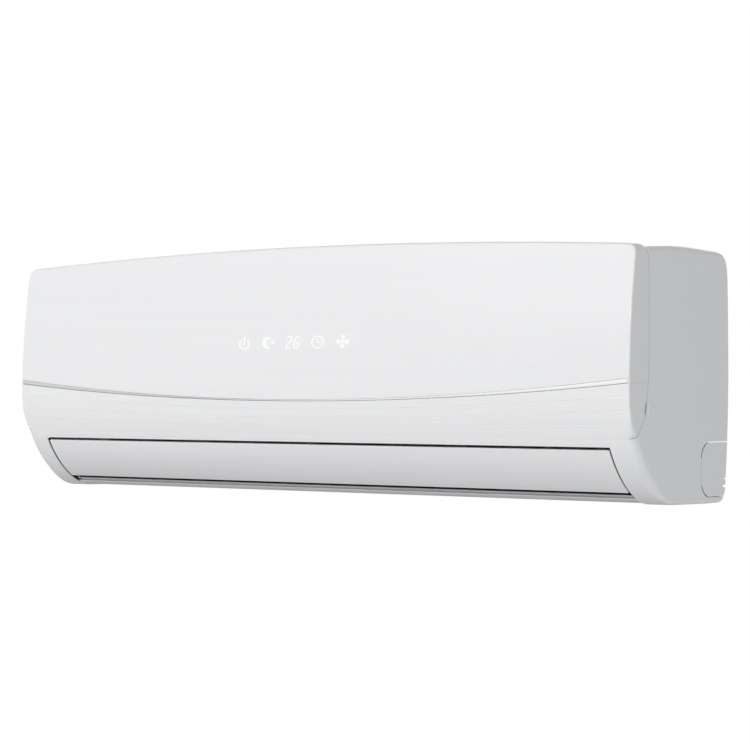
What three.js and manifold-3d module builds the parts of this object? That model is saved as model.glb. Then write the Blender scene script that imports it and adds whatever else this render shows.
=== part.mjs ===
// Mini split indoor unit: a wall-hung air conditioner, built as separate pieces.
// Millimetres. The construction frame has X along the unit, Y from the front line back to the wall and
// Z up from the underside. The exported group moves it so that the origin is the middle of the
// mounting plate's wall face.
import * as THREE from "three";
import { mergeVertices } from "three/addons/utils/BufferGeometryUtils.js";
import Module from "manifold-3d";

const wasm = await Module();
wasm.setup();

// ---------------------------------------------------------------- driving dimensions
const LENGTH = 900; // overall length
const HEIGHT = 275; // case height
const DEPTH = 209; // front line of the panel to the wall
const WALL = 2.5; // thickness of the moulded shells
const GAP = 0.35; // half of each parting gap
const HALF = LENGTH / 2;

const PANEL_ARCH = 12.8; // rise of the panel's top edge at mid length
const ARCH_START = 118; // height where that rise begins
const PANEL_TOP = 274.5; // height of the panel's top edge at its ends
const PANEL_BOTTOM = 70; // height of the panel's lower edge
const PANEL_CORNER = 11; // radius of its upper corners
const PANEL_EDGE = 1.8; // fillet from its front to its side returns

const SIDE_EDGE = 4; // fillet along the top, back and underside of the case
const CHIN_EDGE = 10; // fillet from the lower front to the sides

const ACCENT_LOW = 109.6; // height of the accent line at mid length
const ACCENT_RISE = 20.2; // how much higher it stands at the ends
const ACCENT_THIN = 1.6; // its width at mid length
const ACCENT_GROWTH = 3.2; // extra width at the ends

const OUTLET_HALF = 418; // half length of the air outlet
const OUTLET_TOP = 65.2; // height of the chin's lower edge
const FLAP_TOP = 0.32; // where the flap begins on the lower front curve
const FLAP_END = 0.735; // where it ends
const FLAP_SKIN = 3.2; // its thickness
const FLAP_CLEARANCE = 1.2; // gap at each end of the flap
const FLAP_PIVOT = { y: 62, z: 28, r: 3 };
const FLAP_EAR_X = -20; // place of the middle ear

const HINGE = { y: 36.5, z: 270.5, r: 1.8, x: 420 }; // panel hinge, arms at +x and -x

const FAN = { y: 120, z: 122, r: 48, left: -396, right: 346, blades: 16, shaft: 4 };
const MOTOR = { left: 356, right: 404, r: 42 };

const COIL = { left: -400, right: 340, thick: 17, tilted: 20 };
const COIL_LOWER = [v2(57, 88), v2(57, 156)];
const COIL_UPPER = [v2(57, 163), v2(103, 240)];
const COIL_REAR = [v2(122, 247), v2(174.8, 167.8)];

const VANE_COUNT = 10;
const VANE = { first: -372, pitch: 78, thick: 1.6, y: 88, z: 55, front: -21, back: 9, low: -23, high: 27 };
const VANE_TILT = THREE.MathUtils.degToRad(34.8); // vane axes lean back over the air stream
const LINK_ARM = 12; // from a vane's axis to its pin in the link bar
const CRANK_X = 392; // the motor's crank drives the bar here
const LINK = { low: -27.6, high: -25.4 }; // the bar's underside and top along the vanes' axes
const RAIL = { low: 29.4, high: 32.8 }; // the same for the rail that the vanes hang from

const PLATE = { halfLength: 330, bottom: 48, top: 232, thick: 1.5 };

// ---------------------------------------------------------------- outlines in Y and Z
function v2(a, b) {
  return new THREE.Vector2(a, b);
}

// The side view's front: a full lower curve from the underside to the widest point, then a slender one.
const LOWER_FRONT = new THREE.CubicBezierCurve(v2(0, 118), v2(0, 56), v2(50, 0), v2(92, 0));
const UPPER_FRONT = new THREE.CubicBezierCurve(v2(0, 118), v2(0, 170), v2(6, 225), v2(13.5, 270));
const CASE_TOP = new THREE.SplineCurve([v2(-40, 268), v2(37, 272.4), v2(105, 275.6), v2(187, 273.2)]);
const CASE_REAR = new THREE.SplineCurve([
  v2(206, 254),
  v2(207.7, 231),
  v2(209, 133),
  v2(206, 64),
  v2(202.5, 25),
]);
const TOP_REAR_CORNER = new THREE.QuadraticBezierCurve(v2(187, 273.2), v2(204, 272.5), v2(206, 254));
const LOW_REAR_CORNER = new THREE.QuadraticBezierCurve(v2(202.5, 25), v2(200, 0), v2(184, 0));

// The parting between panel and case, seen from the side: along the front, then up behind the returns.
const PARTING = new THREE.Path()
  .moveTo(-30, PANEL_BOTTOM)
  .lineTo(6, PANEL_BOTTOM)
  .bezierCurveTo(24, 71, 32, 88, 36, 110)
  .bezierCurveTo(39, 126, 41, 140, 41, 160)
  .lineTo(41, 262);
const PARTING_POINTS = distinct(PARTING.getPoints(5));
const PANEL_NOTCH = [v2(35.5, 268.5), v2(35.5, 330)]; // at the top the two part in a small notch
const CASE_NOTCH = [v2(38, 266), v2(38, 330)];

function curvePart(curve, from, to, steps) {
  return Array.from({ length: steps + 1 }, (_, i) => curve.getPoint(from + ((to - from) * i) / steps));
}

function distinct(points) {
  return points.filter((p, i) => i === 0 || p.distanceTo(points[i - 1]) > 1e-3);
}

// Points of a polyline moved sideways by a distance, to its left for a positive one.
function shifted(points, distance, closed = false) {
  const n = points.length;
  return points.map((p, i) => {
    const before = closed || i > 0 ? points[(i + n - 1) % n] : null;
    const after = closed || i < n - 1 ? points[(i + 1) % n] : null;
    const into = before ? p.clone().sub(before).normalize() : after.clone().sub(p).normalize();
    const out = after ? after.clone().sub(p).normalize() : into;
    const normal = v2(-into.y - out.y, into.x + out.x).normalize();
    const stretch = normal.dot(v2(-into.y, into.x));
    return p.clone().addScaledVector(normal, distance / Math.max(stretch, 0.3));
  });
}

// A closed outline drawn inwards by a distance, or outwards by a negative one.
function inset(points, distance) {
  return shifted(points, THREE.ShapeUtils.isClockWise(points) ? -distance : distance, true);
}

// The closed outline of a sheet of constant thickness along a polyline.
function sheet(points, thickness) {
  const one = shifted(points, thickness / 2);
  const other = shifted(points, -thickness / 2);
  return [...one, ...other.reverse()];
}

// ---------------------------------------------------------------- solids
// A closed geometry as a solid that can be joined and cut.
function solid(geometry) {
  const bare = new THREE.BufferGeometry();
  bare.setAttribute("position", geometry.getAttribute("position"));
  if (geometry.index) bare.setIndex(geometry.index);
  const merged = mergeVertices(bare, 1e-4);
  const corners = merged.index.array;
  const triangles = [];
  for (let i = 0; i < corners.length; i += 3) {
    const [a, b, c] = corners.slice(i, i + 3);
    if (a !== b && b !== c && c !== a) triangles.push(a, b, c);
  }
  const vertProperties = merged.attributes.position.array;
  const triVerts = new Uint32Array(triangles);
  return new wasm.Manifold(new wasm.Mesh({ numProp: 3, vertProperties, triVerts }));
}

function join(first, ...others) {
  return others.reduce((sum, other) => sum.add(other), first);
}

function cut(first, ...others) {
  return others.reduce((rest, other) => rest.subtract(other), first);
}

const AXES_X = new THREE.Matrix4().makeBasis(
  new THREE.Vector3(0, 1, 0),
  new THREE.Vector3(0, 0, 1),
  new THREE.Vector3(1, 0, 0),
);
const AXES_Y = new THREE.Matrix4().makeBasis(
  new THREE.Vector3(1, 0, 0),
  new THREE.Vector3(0, 0, 1),
  new THREE.Vector3(0, -1, 0),
);

// An outline in Y and Z drawn out along X, with rounded end edges where a fillet is given.
function alongX(outline, from, to, { fillet = 0, segments = 4, steps = 1, bend } = {}) {
  const geometry = new THREE.ExtrudeGeometry(new THREE.Shape(outline), {
    depth: to - from - 2 * fillet,
    steps,
    bevelEnabled: fillet > 0,
    bevelThickness: fillet,
    bevelSize: fillet,
    bevelOffset: -fillet,
    bevelSegments: segments,
  });
  geometry.applyMatrix4(AXES_X);
  geometry.translate(from + fillet, 0, 0);
  if (bend) bend(geometry.getAttribute("position"));
  return solid(geometry);
}

// An outline in X and Z drawn out along Y.
function alongY(outline, from, to) {
  const plain = { depth: to - from, bevelEnabled: false };
  const geometry = new THREE.ExtrudeGeometry(new THREE.Shape(outline), plain);
  geometry.applyMatrix4(AXES_Y);
  geometry.translate(0, to, 0);
  return solid(geometry);
}

function box(x0, x1, y0, y1, z0, z1) {
  const geometry = new THREE.BoxGeometry(x1 - x0, y1 - y0, z1 - z0);
  return solid(geometry.translate((x0 + x1) / 2, (y0 + y1) / 2, (z0 + z1) / 2));
}

function rodX(radius, x0, x1, y, z, sides = 16) {
  const geometry = new THREE.CylinderGeometry(radius, radius, x1 - x0, sides);
  return solid(geometry.rotateZ(Math.PI / 2).translate((x0 + x1) / 2, y, z));
}

function rodY(radius, x, y0, y1, z, sides = 16) {
  const geometry = new THREE.CylinderGeometry(radius, radius, y1 - y0, sides);
  return solid(geometry.translate(x, (y0 + y1) / 2, z));
}

function rodZ(radius, x, y, z0, z1, sides = 12) {
  const geometry = new THREE.CylinderGeometry(radius, radius, z1 - z0, sides);
  return solid(geometry.rotateX(Math.PI / 2).translate(x, y, (z0 + z1) / 2));
}

// A profile of radius and place along X, turned about an axis that runs along X.
function turnedX(profile, y, z, sides = 24) {
  const geometry = new THREE.LatheGeometry(profile, sides);
  return solid(geometry.rotateZ(-Math.PI / 2).translate(0, y, z));
}

function regular(radius, sides) {
  return Array.from({ length: sides }, (_, i) => {
    const turn = (2 * Math.PI * i) / sides;
    return v2(radius * Math.cos(turn), radius * Math.sin(turn));
  });
}

// A round bar along a curve.
function bar(curve, radius, steps, sides = 8) {
  const shape = new THREE.Shape(regular(radius, sides));
  return solid(new THREE.ExtrudeGeometry(shape, { steps, extrudePath: curve, bevelEnabled: false }));
}

// ---------------------------------------------------------------- scene graph
const root = new THREE.Group();
const unit = new THREE.Group();
unit.position.set(0, -DEPTH, -HEIGHT / 2);
root.add(unit);

const FINISHES = {
  gloss: { color: 0xeceff0, roughness: 0.22, metalness: 0 },
  shell: { color: 0xe3e6e8, roughness: 0.42, metalness: 0 },
  silver: { color: 0xcfd3d6, roughness: 0.25, metalness: 0.6 },
  mould: { color: 0xd8dbdc, roughness: 0.55, metalness: 0 },
  dark: { color: 0x2b2d30, roughness: 0.6, metalness: 0 },
  fin: { color: 0xb9c4cc, roughness: 0.4, metalness: 0.8 },
  copper: { color: 0xb87040, roughness: 0.35, metalness: 1 },
  brass: { color: 0xc2a04e, roughness: 0.3, metalness: 1 },
  steel: { color: 0xaeb3b6, roughness: 0.4, metalness: 0.9 },
  board: { color: 0x2f6b45, roughness: 0.5, metalness: 0 },
  net: { color: 0x5c6670, roughness: 0.7, metalness: 0 },
};

function piece(name, made, finish, parent = unit) {
  const { vertProperties, triVerts, numProp } = made.getMesh();
  const geometry = new THREE.BufferGeometry();
  const interleaved = new THREE.InterleavedBuffer(vertProperties, numProp);
  geometry.setAttribute("position", new THREE.InterleavedBufferAttribute(interleaved, 3, 0));
  geometry.setIndex(new THREE.BufferAttribute(triVerts, 1));
  const mesh = new THREE.Mesh(geometry, new THREE.MeshStandardMaterial(FINISHES[finish]));
  mesh.name = name;
  parent.add(mesh);
  return mesh;
}

// ---------------------------------------------------------------- shared regions
// Space in front of the parting (for the panel) and behind it (for the case).
const FAR = 400;
const panelZone = alongX(
  [...shifted([...PARTING_POINTS, ...PANEL_NOTCH], GAP), v2(-FAR, 330), v2(-FAR, PANEL_BOTTOM)],
  -HALF - 10,
  HALF + 10,
);
const caseZone = alongX(
  [...shifted([...PARTING_POINTS, ...CASE_NOTCH], -GAP), v2(FAR, 330), v2(FAR, -FAR), v2(-30, -FAR)],
  -HALF - 10,
  HALF + 10,
);

// ---------------------------------------------------------------- front panel
const panelOutline = [
  v2(90, 50),
  ...curvePart(LOWER_FRONT, 0.42, 0, 6),
  ...curvePart(UPPER_FRONT, 0.15, 1, 6),
  v2(16, 273),
  v2(20, PANEL_TOP),
  v2(26, 273.8),
  v2(34, 271.8),
  v2(90, 262),
];

// Raises the upper part of the panel in an arch along its length.
function archPanel(position) {
  for (let i = 0; i < position.count; i++) {
    const along = position.getX(i) / HALF;
    const up = THREE.MathUtils.clamp((position.getZ(i) - ARCH_START) / (PANEL_TOP - ARCH_START), 0, 1);
    position.setZ(i, position.getZ(i) + PANEL_ARCH * (1 - along * along) * up * up);
  }
}

// The outer surface of the panel drawn in by a depth, as a solid.
function panelSkin(depth) {
  const half = HALF - Math.max(depth, 0);
  const fillet = Math.max(PANEL_EDGE - depth, 0);
  return alongX(inset(panelOutline, depth), -half, half, { fillet, segments: 2, steps: 12, bend: archPanel });
}

// The front view of the panel with its rounded upper corners, drawn in by a depth.
function panelFront(depth) {
  const half = HALF - depth;
  const radius = PANEL_CORNER - depth;
  const top = PANEL_TOP + 0.6 - depth;
  const corner = new THREE.EllipseCurve(half - radius, top - radius, radius, radius);
  const right = [v2(half, 40), ...curvePart(corner, 0, 0.25, 4), v2(half - radius, 330)];
  const left = right.map((p) => v2(-p.x, p.y)).reverse();
  return alongY([...right, ...left], -60, 120);
}

function accentHeight(x) {
  return ACCENT_LOW + ACCENT_RISE * (x / HALF) ** 2;
}

const accentPlaces = Array.from({ length: 17 }, (_, i) => (HALF + 5) * (i / 8 - 1));

// The accent band in the front view: it stands on its line, widened on both edges by a margin.
function accentBand(margin) {
  const width = (x) => ACCENT_THIN + ACCENT_GROWTH * (x / HALF) ** 2;
  const upper = accentPlaces.map((x) => v2(x, accentHeight(x) + width(x) + margin));
  const lower = accentPlaces.map((x) => v2(x, accentHeight(x) - margin));
  return [...lower, ...upper.reverse()];
}

// All that lies below the accent line, moved up by a rise.
function belowAccent(rise) {
  const edge = accentPlaces.map((x) => v2(x, accentHeight(x) + rise));
  return alongY([...edge, v2(HALF + 5, 0), v2(-HALF - 5, 0)], -20, 60);
}

const fingerGrips = [-1, 1].map((side) => {
  const hollow = new THREE.SphereGeometry(1, 8, 6).scale(2, 4.5, 10.5);
  return solid(hollow.translate(side * (HALF + 0.4), 34.5, 97));
});

const panelShell = cut(
  panelSkin(0).intersect(panelFront(0)).intersect(panelZone),
  panelSkin(WALL).intersect(panelFront(WALL)),
  ...fingerGrips,
);
// The strip lies in a shallow groove that ends just short of the panel's edges.
function accentRoom(margin) {
  const end = HALF - 3.5 + margin;
  return alongY(accentBand(margin), -20, 9).intersect(box(-end, end, -20, 9, 90, 150));
}
const accentGroove = accentRoom(0.3).subtract(panelSkin(1.6));

const hingeArms = [-1, 1].map((side) => {
  const near = side > 0 ? HINGE.x : -HINGE.x - 3;
  const pinStart = side > 0 ? HINGE.x : -HINGE.x - 9;
  const arm = [v2(27, 272), v2(35, 272), v2(38.2, 271), v2(38.2, 269.6), v2(36, 268.7), v2(29, 265)];
  return join(alongX(arm, near, near + 3), rodX(HINGE.r, pinStart, pinStart + 9, HINGE.y, HINGE.z, 12));
});
piece("front_panel_upper", join(cut(panelShell, belowAccent(0), accentGroove), ...hingeArms), "gloss");
piece("front_panel_lower", panelShell.intersect(belowAccent(-GAP)), "gloss");
piece("accent_trim", accentRoom(0).intersect(panelSkin(-0.3)).subtract(panelSkin(1.3)), "silver");

// The symbols shine through the panel from a light guide in front of their board.
piece("display_light_guide", box(-98, 88, 6.6, 12, 158, 194), "mould");
const displayChips = [box(-70, -40, 13.5, 19, 160, 172), box(20, 60, 13.5, 17, 178, 190)];
piece("display_board", join(box(-102, 92, 12.4, 14, 154, 198), ...displayChips), "board");

// ---------------------------------------------------------------- front case
const bodyOutline = [
  v2(-40, 0),
  ...curvePart(CASE_TOP, 0, 1, 5),
  ...curvePart(TOP_REAR_CORNER, 0.33, 1, 3),
  ...curvePart(CASE_REAR, 0.25, 1, 4),
  ...curvePart(LOW_REAR_CORNER, 0.33, 1, 3),
];
// The lower front in a large region, so that its wide fillet fades out under the case.
const chinOutline = [...curvePart(LOWER_FRONT, 0.24, 0.82, 7), v2(230, -42), v2(330, 330), v2(0, 330)];

// The case drawn in by a depth, as a solid, with its fillets in so many flats.
function caseBody(depth, sideFlats, chinFlats) {
  const half = HALF - depth;
  const side = { fillet: SIDE_EDGE - depth, segments: sideFlats };
  const chinSide = { fillet: CHIN_EDGE - depth, segments: chinFlats };
  const body = alongX(inset(bodyOutline, depth), -half, half, side);
  return body.intersect(alongX(inset(chinOutline, depth), -half, half, chinSide));
}

const caseOuter = caseBody(0, 2, 4).intersect(caseZone);
const openBack = box(-HALF + WALL, HALF - WALL, 190, 230, 9, 262);
const caseShell = cut(caseOuter, caseBody(WALL, 1, 2), openBack);

// The chin over the outlet, up to the seam where the intake frame stands on it.
const SEAM = 78;
const chinFlange = [v2(23, OUTLET_TOP), v2(23, 63.8), v2(37, 63.8), v2(37, 66.2), v2(25.5, 66.2)];
const chinProfile = [v2(-5, OUTLET_TOP), ...chinFlange, v2(22, 70), v2(24, SEAM), v2(-5, SEAM)];
const chin = alongX(chinProfile, -OUTLET_HALF, OUTLET_HALF);
const outletCut = box(-OUTLET_HALF, OUTLET_HALF, -20, 178.6, -20, 69);

// End walls close the rounded caps beside the outlet and carry the flap's pins.
const capWall = [v2(-10, SEAM), v2(-10, -10), v2(112, -10), v2(112, 40), v2(62, 72), v2(34, SEAM)];
const endWalls = [-1, 1].map((side) => {
  const near = side > 0 ? OUTLET_HALF : -OUTLET_HALF - WALL;
  return alongX(capWall, near, near + WALL).intersect(caseOuter);
});

// A round rod on the flap's axis.
function flapRod(radius, from, to, sides = 12) {
  return rodX(radius, from, to, FLAP_PIVOT.y, FLAP_PIVOT.z, sides);
}
const pinHoles = flapRod(FLAP_PIVOT.r + 0.7, -OUTLET_HALF - 3, OUTLET_HALF + 3);

// Hooks at the top hold the panel's hinge pins from behind.
const hingeHooks = [-1, 1].map((side) => {
  const near = side > 0 ? HINGE.x + 4.5 : -HINGE.x - 8.5;
  return alongX([v2(36.8, 264), v2(46, 262), v2(46, 272), v2(38, 272)], near, near + 4);
});
const hingeRoom = [-1, 1].map((side) => {
  const near = side > 0 ? HINGE.x - 1 : -HINGE.x - 10;
  return rodX(HINGE.r + 0.6, near, near + 11, HINGE.y, HINGE.z, 16);
});

const GRILLE = { first: -400, pitch: 40, slot: 32, columns: 20 };
const grilleRows = [
  [54, 98],
  [106, 150],
];
const grilleSlots = [];
for (let column = 0; column < GRILLE.columns; column++) {
  const x = GRILLE.first + column * GRILLE.pitch;
  for (const [near, far] of grilleRows) grilleSlots.push(box(x, x + GRILLE.slot, near, far, 264, 280));
}

// Break-out plates low at the back of each side let the pipes leave sideways.
function pipePlate(margin) {
  const low = 5.5 + margin;
  const high = 66 - margin;
  const front = 146.5 + margin;
  const corner = 18;
  const shape = new THREE.Path()
    .moveTo(230, low)
    .lineTo(front + corner, low)
    .absarc(front + corner, low + corner, corner, -Math.PI / 2, -Math.PI, true)
    .lineTo(front, high - corner)
    .absarc(front + corner, high - corner, corner, Math.PI, Math.PI / 2, true)
    .lineTo(230, high);
  return distinct(shape.getPoints(5));
}
const rightPlateRoom = alongX(pipePlate(0), HALF - 6, HALF + 6);
const leftPlateRoom = alongX(pipePlate(0), -HALF - 6, -HALF + 6);

const SCREW_X = [-330, 0, 330];
const SCREW_NAMES = ["left", "centre", "right"];
const SCREW = { y: 31, shank: 1.8, head: 3.8, headZ: 61.6, seatZ: 63.5, tip: 73 };
const screwHoles = SCREW_X.map((x) => rodZ(SCREW.shank + 0.5, x, SCREW.y, 60, 72, 8));
const BUTTON = { x: 430, z: 140, r: 4, travel: 1.5 };

const frontCase = cut(
  join(
    cut(caseShell, outletCut, ...grilleSlots),
    chin.intersect(caseOuter),
    ...endWalls,
    ...hingeHooks,
  ),
  pinHoles,
  rightPlateRoom,
  leftPlateRoom,
  ...hingeRoom,
  ...fingerGrips,
  ...screwHoles,
);
piece("front_case", frontCase, "shell");

// The intake frame closes the case behind the panel and holds the filters in its two mouths.
const FRAME_TOP = 269.5; // just under the case's top wall
const frameLine = [...PARTING_POINTS.filter((p) => p.x > 8), v2(41, FRAME_TOP)];
const frameProfile = [...shifted(frameLine, -GAP), ...shifted(frameLine, -GAP - WALL).reverse()];
const frameSheet = alongX(frameProfile, -HALF + 4, HALF - 4);
const filterMouths = [box(-425, -6, 30, 60, 112, 256), box(6, 405, 30, 60, 112, 256)];
const hookRoom = [-429, 424].map((x) => box(x, x + 5, 30, 60, 261.5, 280));
const intakeFrame = cut(
  frameSheet,
  ...filterMouths,
  ...hookRoom,
  box(-HALF, HALF, 0, 60, 60, SEAM + GAP),
  rodY(BUTTON.r + 0.6, BUTTON.x, 30, 50, BUTTON.z),
);
piece("intake_frame", intakeFrame, "shell");
piece("pipe_cover_right", caseShell.intersect(alongX(pipePlate(0.3), HALF - 6, HALF + 6)), "shell");
piece("pipe_cover_left", caseShell.intersect(alongX(pipePlate(0.3), -HALF - 6, -HALF + 6)), "shell");

// The bottom cover closes the underside between the end caps, with a lip in front for the flap.
const bottomLine = [v2(66, 9.2), v2(69.5, 6.6), v2(76, 2.9), v2(85, 0.5), v2(176, -0.2)];
piece("bottom_cover", alongX(sheet(bottomLine, 2), -OUTLET_HALF + 0.5, OUTLET_HALF - 0.5), "shell");

SCREW_X.forEach((x, i) => {
  const shank = rodZ(SCREW.shank, x, SCREW.y, SCREW.headZ + 1, SCREW.tip, 8);
  const head = rodZ(SCREW.head, x, SCREW.y, SCREW.headZ, SCREW.seatZ, 10);
  piece(`case_screw_${SCREW_NAMES[i]}`, join(head, shank), "steel");
  const cup = cut(rodZ(5.6, x, SCREW.y, 59.4, 63.4, 12), rodZ(4.4, x, SCREW.y, 61.1, 66, 12));
  piece(`screw_cap_${SCREW_NAMES[i]}`, cup, "shell");
});

// ---------------------------------------------------------------- louver flap
const flapOuter = curvePart(LOWER_FRONT, FLAP_TOP, FLAP_END, 8);
const flapProfile = [...flapOuter, ...shifted(flapOuter, FLAP_SKIN).reverse()];
const flapHalf = OUTLET_HALF - FLAP_CLEARANCE;
const earOutline = [v2(33, 38), v2(62, 34), v2(67, 28), v2(62, 22), v2(46, 22)];
const flapEars = [flapHalf - 4, FLAP_EAR_X - 1.5, -flapHalf + 1].map((x) => alongX(earOutline, x, x + 3));
const flapPins = [
  [flapHalf - 3, OUTLET_HALF + 8],
  [-OUTLET_HALF - 2.3, -flapHalf + 3],
  [FLAP_EAR_X - 9, FLAP_EAR_X],
].map(([x0, x1]) => flapRod(FLAP_PIVOT.r, x0, x1));
piece("louver_flap", join(alongX(flapProfile, -flapHalf, flapHalf), ...flapEars, ...flapPins), "shell");
const bracketOutline = [v2(46, 70.2), v2(59, 76), v2(67, 34), v2(67, 23), v2(57, 23), v2(55, 34)];
const bracket = alongX(bracketOutline, FLAP_EAR_X - 8, FLAP_EAR_X - 4);
piece("flap_bracket", cut(bracket, flapRod(FLAP_PIVOT.r + 0.7, FLAP_EAR_X - 20, FLAP_EAR_X + 2)), "mould");
const motorBore = flapRod(FLAP_PIVOT.r + 0.5, OUTLET_HALF, OUTLET_HALF + 10);
piece("flap_motor", cut(flapRod(11, OUTLET_HALF + 3, OUTLET_HALF + 19, 18), motorBore), "steel");

// ---------------------------------------------------------------- rear chassis
const chamber = { left: -412, right: 352 }; // the fan chamber's outer faces
const scrollLine = [v2(176, 149), v2(178, 120), v2(170, 86), v2(148, 60), v2(118, 38), v2(78, 8)];
const floorLine = [v2(118, 38), v2(78, 8)];
const troughLine = [v2(204, 172), v2(191, 152), v2(176, 148), v2(163, 151), v2(160, 158)];
const coilRest = [v2(174, 148), v2(174, 165.6)]; // the rear block stands on this rib
const cheekOutline = [
  v2(104, 29),
  v2(88, 80),
  v2(78, 112),
  v2(86, 150),
  v2(104, 172),
  v2(148, 172),
  v2(160, 158),
  ...scrollLine.slice(0, 5),
];
const channelLine = [v2(204.2, 67), v2(177, 67), v2(177, 4)];
const floorPan = [v2(78, 8), v2(83, 3.6), v2(177, 3.6)];
const shaftHole = rodX(9, 340, 370, FAN.y, FAN.z);
const bearingHole = rodX(14.4, -420, -400, FAN.y, FAN.z, 20);
const hookSlots = [-220, 0, 220].map((x) => box(x - 34, x + 34, 198, 210, 205, 224));
const chassis = cut(
  join(
    box(-446.5, 446.5, 202.8, 205.2, 67, 258),
    alongX(sheet(troughLine, 2.4), chamber.left, chamber.right),
    alongX(sheet(coilRest, 2), chamber.left, chamber.right),
    alongX(sheet(scrollLine, 2.4), chamber.left, chamber.right),
    alongX(sheet(floorLine, 2.4), -416, 416),
    alongX(sheet(channelLine, 2.4), -416, 416),
    alongX(sheet(floorPan, 2.4), -416, 416),
    alongX(cheekOutline, chamber.left, chamber.left + 2.5),
    alongX(cheekOutline, chamber.right - 2.5, chamber.right),
  ),
  shaftHole,
  bearingHole,
  box(366, 414, 181, 202, 60, 70),
  ...hookSlots,
);
piece("rear_chassis", chassis, "mould");

// The plate is screwed to the wall, and its hooks carry the chassis.
const plateHooks = [-220, 0, 220].map((x) =>
  join(box(x - 30, x + 30, 199.5, 208, 208, 210), box(x - 30, x + 30, 199.5, 201, 208, 219)),
);
const plateRibs = [84, 178].map((z) => box(-300, 300, DEPTH - 2.6, DEPTH - 1, z - 6, z + 6));
const plateHoles = [];
for (const x of [-300, -120, 120, 300]) {
  for (const z of [62, 110, 218]) plateHoles.push(rodY(2.6, x, 200, 212, z, 8));
}
const { halfLength, bottom, top, thick } = PLATE;
const plateSheet = box(-halfLength, halfLength, DEPTH - thick, DEPTH, bottom, top);
piece("mounting_plate", cut(join(plateSheet, ...plateHooks, ...plateRibs), ...plateHoles), "steel");

// ---------------------------------------------------------------- drain pan
const panLine = [v2(27, 68), v2(46, 72), v2(64, 80), v2(73, 98)];
const panEnd = [v2(46, 73), v2(46, 93), v2(71, 96), v2(64, 80)];
const drainPan = cut(
  join(
    alongX(sheet(panLine, 2.5), -409, 350),
    alongX(sheet([...panLine.slice(0, 2), v2(52, 74.7)], 2.5), 340, 412),
    alongX(sheet([v2(46, 71), v2(46, 93)], 1.8), -409, 350),
    alongX(sheet([v2(57, 77), v2(57, 87.6)], 2), -409, 350),
    alongX(panEnd, -409, -406.5),
    alongX(panEnd, 347.5, 350),
    rodX(7, 349, 366, 56, 86, 12),
    rodX(6, -414, -408, 56, 86, 12),
  ),
  ...screwHoles,
);
piece("drain_pan", drainPan, "mould");
piece("drain_plug", cut(rodX(8.5, -417.6, -409.4, 56, 86, 12), rodX(6.5, -415, -400, 56, 86, 12)), "dark");

// ---------------------------------------------------------------- evaporator
function alongLine([from, to], start, end) {
  const direction = to.clone().sub(from).normalize();
  return [from.clone().addScaledVector(direction, start), to.clone().addScaledVector(direction, end)];
}

function finBlock(line, thickness) {
  return alongX(sheet(line, thickness), COIL.left, COIL.right);
}
piece("evaporator_front_lower", finBlock(COIL_LOWER, COIL.thick), "fin");
piece("evaporator_front_upper", finBlock(COIL_UPPER, COIL.tilted), "fin");
piece("evaporator_rear", finBlock(COIL_REAR, COIL.tilted), "fin");

// A return bend: half a turn of tube between two tube holes of one row.
class ReturnBend extends THREE.Curve {
  constructor(middle, direction, x, outwards) {
    super();
    Object.assign(this, { middle, direction, x, outwards });
  }
  getPoint(t, target = new THREE.Vector3()) {
    const turn = Math.PI * t;
    const along = 10.5 * Math.cos(turn);
    const out = this.outwards * 10.5 * Math.sin(turn);
    const { x: y, y: z } = this.middle.clone().addScaledVector(this.direction, along);
    return target.set(this.x + out, y, z);
  }
}

// Places of the return bends along each block, as shares of its length.
const BENDS_LEFT = [
  [COIL_LOWER, [0.34, 0.78]],
  [COIL_UPPER, [0.2, 0.52, 0.84]],
  [COIL_REAR, [0.18, 0.5, 0.82]],
];
// On the right the rear block's last tubes go to the pipes.
const BENDS_RIGHT = [...BENDS_LEFT.slice(0, 2), [COIL_REAR, [0.18, 0.5]]];

function coilEnd(side, face, rows) {
  const [near, far] = side > 0 ? [face, face + 2] : [face - 2, face];
  const plates = [
    [alongLine(COIL_LOWER, 0, 8), COIL.thick],
    [alongLine(COIL_UPPER, -1, 9), COIL.tilted],
    [alongLine(COIL_REAR, -9, 0), COIL.tilted],
  ].map(([line, thickness]) => alongX(sheet(line, thickness), near, far));
  const bends = rows.flatMap(([[from, to], shares]) => {
    const direction = to.clone().sub(from).normalize();
    return shares.map((share) => {
      const middle = from.clone().lerp(to, share);
      return bar(new ReturnBend(middle, direction, face + side, side), 3.5, 5, 6);
    });
  });
  return join(...plates, ...bends);
}
piece("coil_end_left", coilEnd(-1, COIL.left - 0.4, BENDS_LEFT), "copper");
piece("coil_end_right", coilEnd(1, COIL.right + 0.4, BENDS_RIGHT), "copper");

// Both pipes leave the right end of the rear block, drop behind the motor and run along the back.
function rounded(points, radius) {
  const path = new THREE.CurvePath();
  let start = points[0];
  for (let i = 1; i < points.length - 1; i++) {
    const back = points[i - 1].clone().sub(points[i]).setLength(radius).add(points[i]);
    const ahead = points[i + 1].clone().sub(points[i]).setLength(radius).add(points[i]);
    path.add(new THREE.LineCurve3(start, back));
    path.add(new THREE.QuadraticBezierCurve3(back, points[i], ahead));
    start = ahead;
  }
  path.add(new THREE.LineCurve3(start, points.at(-1)));
  return path;
}

function v3(x, y, z) {
  return new THREE.Vector3(x, y, z);
}
const SUCTION = { r: 6.35, end: -130, y: 191, z: 44, start: [167, 179.5], drop: 386, corner: 18 };
const LIQUID = { r: 3.2, end: -60, y: 192, z: 20, start: [156, 193], drop: 403, corner: 12 };

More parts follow.
